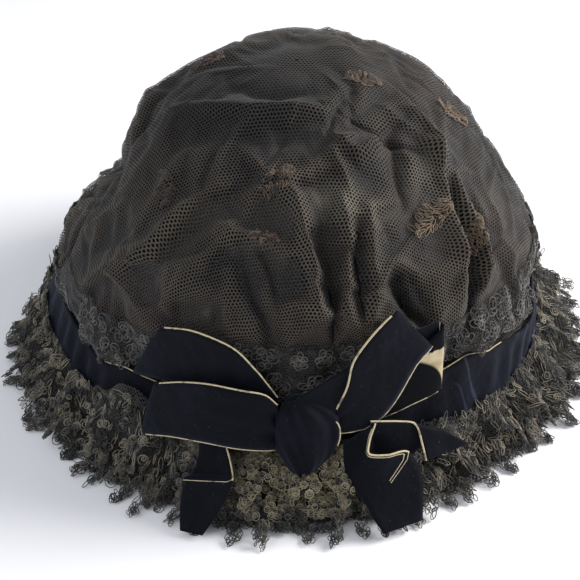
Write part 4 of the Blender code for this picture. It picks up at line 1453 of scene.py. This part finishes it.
def strip_mesh(name, front, thickness, lines, line_radius, satin=NO_SATIN):
    """A closed ribbon from a grid of its front, with selvedges along these lines."""
    back = front - grid_normals(front) * thickness
    rows, columns = front.shape[:2]
    cloth = flat_coordinates(front.swapaxes(0, 1)).swapaxes(0, 1)
    ring = np.concatenate([front, back[:, ::-1]], axis=1)
    flat = np.concatenate([cloth, cloth[:, ::-1]], axis=1)
    faces = [grid_faces(rows, 2 * columns, True)]
    pairs = np.stack([np.arange(columns - 1), np.arange(1, columns)], -1)
    cap = np.concatenate([pairs, 2 * columns - 1 - pairs[:, ::-1]], axis=1)
    faces += [cap[:, ::-1], cap + (rows - 1) * 2 * columns]
    points, coordinates = [ring.reshape(-1, 3)], [flat.reshape(-1, 3)]
    column = np.arange(len(faces[0])) % (2 * columns)
    behind = (column >= columns) & (column < 2 * columns - 1) & (satin.start < 1.0)
    kinds = [behind.astype(int), np.zeros(2 * len(cap), int)]
    run, share = np.meshgrid(np.linspace(0, 1, rows), np.linspace(1, 0, columns), indexing="ij")
    inside = np.minimum(run - satin.start, satin.stop + satin.shift * share - run)
    inside = np.minimum(inside, 0.03 * (satin.height - back[:, ::-1, 2]))
    shiny = [np.concatenate([np.zeros((rows, columns)), 0.5 + 30.0 * inside], axis=1).ravel()]
    total = rows * 2 * columns
    for path in lines:
        line = (grid_line(front, path) + grid_line(back, path)) / 2
        faces.append(grid_faces(len(line), CORD_CORNERS, True) + total)
        points.append(tube_points(line, line_radius).reshape(-1, 3))
        coordinates.append(np.repeat(line, CORD_CORNERS, axis=0))
        kinds.append(np.full(len(faces[-1]), 2))
        shiny.append(np.zeros(len(line) * CORD_CORNERS))
        total += len(line) * CORD_CORNERS
    mesh = mesh_in_mm(name, np.vstack(points), np.vstack(faces).tolist())
    keep_attribute(mesh, "cloth", "FLOAT_VECTOR", np.vstack(coordinates))
    keep_attribute(mesh, "satin", "FLOAT", np.concatenate(shiny))
    mesh.polygons.foreach_set("material_index", np.concatenate(kinds).astype(np.int32))
    return mesh


def ribbon_front(stations, crown, pleats):
    """A grid between a ribbon's two edges, bowed outwards by crown and pleated near its ends."""
    line = spline(stations, 7)
    first, second = around(*line[:, :3].T), around(*line[:, 3:].T)
    share = np.linspace(0, 1, 12)
    grid = first[:, None] * (1 - share)[:, None] + second[:, None] * share[:, None]
    run = np.linspace(0, 1, len(line))[:, None]
    pinch = np.exp(-run * 9.0) + 0.7 * np.exp(-(1 - run) * 9.0)
    folds = np.sin(share * np.pi * 5 + 2.5 * run) * pleats * pinch
    lift = crown * np.sin(np.pi * share) * np.sin(np.pi * run) + folds * np.sin(np.pi * share)
    return grid + grid_normals(grid) * lift[..., None]


Ribbon = namedtuple("Ribbon", "node stations crown pleats lines satin flat")

# Lines are the selvedges, as paths of (run, share) on the ribbon; flat is its width and length
# in metres when it lies flat.
RIBBONS = (
    Ribbon(
        "bow_loop_left_upper", LEFT_UPPER_LOOP, 0.5, 0.7, (((0, 0), (0.55, 0)),), NO_SATIN,
        (0.027, 0.115),
    ),
    Ribbon(
        "bow_loop_left_lower", LEFT_LOWER_LOOP, 0.5, 1.3, (((0, 0), (0.54, 0)), ((0, 1), (0.54, 1))),
        NO_SATIN, (0.024, 0.115),
    ),
    Ribbon(
        "bow_loop_right", RIGHT_LOOP, 0.4, 0.5,
        (((0, 0), (0.41, 0)), ((0, 1), (1, 1)), ((0.675, 0.0), (0.675, 0.55))),
        Satin(0.5, 0.848, -0.15, 61.0), (0.022, 0.120),
    ),
    Ribbon(
        "bow_tail_left", LEFT_TAIL, 0.3, 0.3, (((0, 1), (0.5, 1), (0.55, 0.9), (0.56, 0.0)),),
        NO_SATIN, (0.016, 0.036),
    ),
    Ribbon(
        "bow_tail_right_long", RIGHT_LONG_TAIL, 0.3, 0.3,
        (
            ((0, 0), (0.33, 0), (0.5, 0), (0.66, 0), (0.69, 0.1), (0.72, 0.5)),
            ((0.04, 0.06), (0.33, 0.05), (0.5, 0.05), (0.64, 0.05), (0.67, 0.15), (0.7, 0.5)),
        ),
        NO_SATIN, (0.017, 0.045),
    ),
    Ribbon(
        "bow_tail_right_short", RIGHT_SHORT_TAIL, 0.2, 0.2, (((0, 0), (1, 0)),), NO_SATIN,
        (0.016, 0.036),
    ),
)


def make_ribbon(ribbon):
    """A ribbon of the bow, turned over if its front would face inwards."""
    front = ribbon_front(ribbon.stations, ribbon.crown, ribbon.pleats)
    lines, satin = ribbon.lines, ribbon.satin
    outward = np.cross(np.gradient(front, axis=0), np.gradient(front, axis=1))[: len(front) // 4]
    if np.sum(outward * front[: len(outward)]) < 0:
        front = front[:, ::-1]
        lines = [[(run, 1 - share) for run, share in path] for path in lines]
        satin = Satin(satin.start, satin.stop + satin.shift, -satin.shift, satin.height)
    name = ribbon.node + "_velvet"
    mesh = strip_mesh(name, front, RIBBON_THICKNESS, lines, SELVEDGE_RADIUS, satin)
    return add_piece(name, mesh, [VELVET, SATIN, SELVEDGE], [ribbon.node])


ribbons = [make_ribbon(ribbon) for ribbon in RIBBONS]


# %% The knot and the band


# Height, then the azimuths of the knot's left and right sides there
KNOT_ROWS = (
    (20.5, -0.4, 2.0),
    (23.5, -2.0, 4.4),
    (28.0, -3.5, 6.8),
    (33.0, -4.4, 8.2),
    (39.0, -4.6, 8.8),
    (45.0, -4.2, 8.2),
    (49.5, -3.0, 5.6),
    (52.5, -1.4, 2.0),
)

# The velvet that is drawn from the knot up to the right loop
KNOT_WING = (
    (-0.6, 103.6, 52.6, -0.4, 104.4, 49.0),
    (2.6, 102.6, 57.0, 3.2, 104.0, 47.6),
    (6.4, 101.4, 61.0, 6.6, 103.2, 46.8),
    (10.8, 99.8, 64.6, 9.4, 102.2, 46.0),
)


def make_knot():
    """The knot: a short wrap of velvet in pleats, which are closest together at its foot."""
    rows = spline(KNOT_ROWS, 6)
    turn, row = np.meshgrid(np.linspace(0, 2 * np.pi, 96, endpoint=False), np.arange(len(rows)))
    height, left, right = (column[row] for column in rows.T)
    up = np.linspace(-1, 1, len(rows))[row]
    side = np.sign(np.cos(turn)) * np.abs(np.cos(turn)) ** 0.8
    out = np.sign(np.sin(turn)) * np.abs(np.sin(turn)) ** 0.75
    fan = side * (1.5 - 0.5 * up) + 0.45 * up
    pleats = 0.8 * np.sin(fan * 4.6) + 0.35 * np.sin(fan * 10.0 + 2.0 * up)
    depth = 0.6 + 4.6 * np.sqrt(np.clip(1 - up**4, 0, 1)) * (1 - 0.25 * side**2)
    azimuth = (left + right) / 2 + (right - left) / 2 * side
    radius = 103.5 - 3.2 * up + depth * out + pleats * np.clip(out, 0, 1) * (1 - up**6)
    points = around(azimuth, radius, height)
    count, columns = turn.size, turn.shape[1]
    caps = [tuple(range(columns)), tuple(range(count - 1, count - columns - 1, -1))]
    faces = grid_faces(len(rows), columns, True)[:, ::-1].tolist()
    edge = rows[(rows[:, 0] > 33.0) & (rows[:, 0] < 46.0)]
    line = around(edge[:, 2] - 0.3, 107.4, edge[:, 0])
    cord = tube_points(line, 0.24).reshape(-1, 3)
    cord_faces = grid_faces(len(line), CORD_CORNERS, True) + count
    everything = np.vstack([points.reshape(-1, 3), cord])
    mesh = mesh_in_mm("bow_knot_velvet", everything, faces + caps + cord_faces.tolist())
    cloth = np.vstack([flat_coordinates(points).reshape(-1, 3), cord])
    keep_attribute(mesh, "cloth", "FLOAT_VECTOR", cloth)
    corded = np.zeros(len(mesh.polygons), np.int32)
    corded[-len(cord_faces):] = 1
    mesh.polygons.foreach_set("material_index", corded)
    return add_piece("bow_knot_velvet", mesh, [VELVET, SELVEDGE], ["bow_knot"])


def band_place(azimuth, across):
    top_radius, top_height, foot_radius, foot_height = table_at(BAND_ROWS, azimuth)
    angle = np.radians(azimuth)
    beside_the_bow = smooth_step(40.0, 60.0, np.abs(azimuth))
    ruche = np.sin(angle * 15) * across * beside_the_bow
    crease = 0.7 * np.sin(angle * 47 + 3 * np.sin(angle * 6) + 2.5 * across) * np.sin(np.pi * across)
    radius = top_radius + (foot_radius - top_radius) * across + ruche + crease * beside_the_bow
    return around(azimuth, radius, top_height + (foot_height - top_height) * across)


def make_band():
    across, azimuth = np.meshgrid(np.linspace(1, 0, 12), np.linspace(-180, 180, 541))
    front = band_place(azimuth, across)
    lines = [((0.36, 1), (0.5, 1), (0.65, 1))]
    mesh = strip_mesh("ribbon_band_velvet", front, RIBBON_THICKNESS, lines, 0.3)
    materials = [VELVET, SATIN, SELVEDGE]
    return add_piece("ribbon_band_velvet", mesh, materials, ["ribbon_band"])


def make_knot_wing():
    front = ribbon_front(KNOT_WING, 0.8, 0.5)
    mesh = strip_mesh("bow_knot_wing", front[:, ::-1], 0.6, [], SELVEDGE_RADIUS)
    return add_piece("bow_knot_wing", mesh, [VELVET])


knot = make_knot()
knot_wing = make_knot_wing()
band = make_band()

# %% [markdown]
# ## Sprigs on the net
#
# Twelve small sprigs are worked on the net in brown floss: rows of loops along a stem and to
# either side of it.

# %% Sprigs

# Azimuth and slant of each sprig, the way its stem points, and its length
SPRIGS = (
    (-106.0, 18.0, -160.0, 11.0),
    (68.7, 13.4, 25.0, 11.0),
    (90.0, 33.5, 5.0, 13.0),
    (42.0, 42.2, 105.0, 14.0),
    (52.5, 50.2, -30.0, 10.0),
    (-7.0, 29.9, -35.0, 12.0),
    (-46.4, 37.4, 38.0, 11.0),
    (-9.2, 40.7, 80.0, 8.0),
    (-170.0, 38.0, 20.0, 11.0),
    (140.0, 52.0, -30.0, 11.0),
    (-135.0, 50.0, 10.0, 11.0),
    (175.0, 62.0, 40.0, 10.0),
)


# The crown's radii across and down, which turn a sprig's millimetres into azimuth and slant
CROWN_ACROSS = 100.0
CROWN_DOWN = 108.0


def make_sprigs():
    random = np.random.default_rng(3)
    rows = []
    for azimuth, slant, turn, length in SPRIGS:
        for step in np.linspace(-0.55, 0.5, 10):
            for side in (-1.0, -0.5, 0.0, 0.5, 1.0):
                if random.random() < 0.2:
                    continue
                reach = length * step + random.normal(0, 0.25)
                aside = side * (3.0 - 3.4 * abs(step)) * length / 10 + random.normal(0, 0.2)
                spin = np.radians(turn) + side * 0.9 + random.normal(0, 0.25)
                long = random.uniform(0.9, 1.7) * (0.9 if side else 1.1) * length / 10
                rows.append((azimuth, slant, np.radians(turn), reach, aside, spin, long))
    azimuth, slant, turn, reach, aside, spin, long = np.array(rows).T
    down = reach * np.cos(turn) - aside * np.sin(turn)
    right = reach * np.sin(turn) + aside * np.cos(turn)
    azimuth = azimuth + np.degrees(right / (CROWN_ACROSS * np.sin(np.radians(slant))))
    slant = slant + np.degrees(down / CROWN_DOWN)
    here, facing, heading = surface_frame(
        lambda turn, tilt: over_net(turn, tilt, 0.6), azimuth, slant, (0.5, 0.5)
    )
    running = turn_about(heading, facing, -spin)
    size = np.stack([long, long * 0.33, np.ones(len(long))], -1)
    return work_loops(
        "net_sprigs", here, facing, running, size, FLOSS, "silk_net",
        Corners=7, Thread_Radius=0.0002, Size_Spread=0.35, Tilt=0.3, Seed=9,
    )


sprigs = make_sprigs()

# %% [markdown]
# ## The floor

# %% Floor


FLOOR_REACH = 1500.0


def make_floor():
    corners = [(-1, -1, 0), (1, -1, 0), (1, 1, 0), (-1, 1, 0)]
    mesh = mesh_in_mm("floor", np.array(corners) * FLOOR_REACH, [(0, 1, 2, 3)])
    paper = Graph("pale_floor").finish(Base_Color=paint(244, 244, 247), Roughness=0.8)
    mesh.materials.append(paper)
    new_object("floor", mesh)


make_floor()
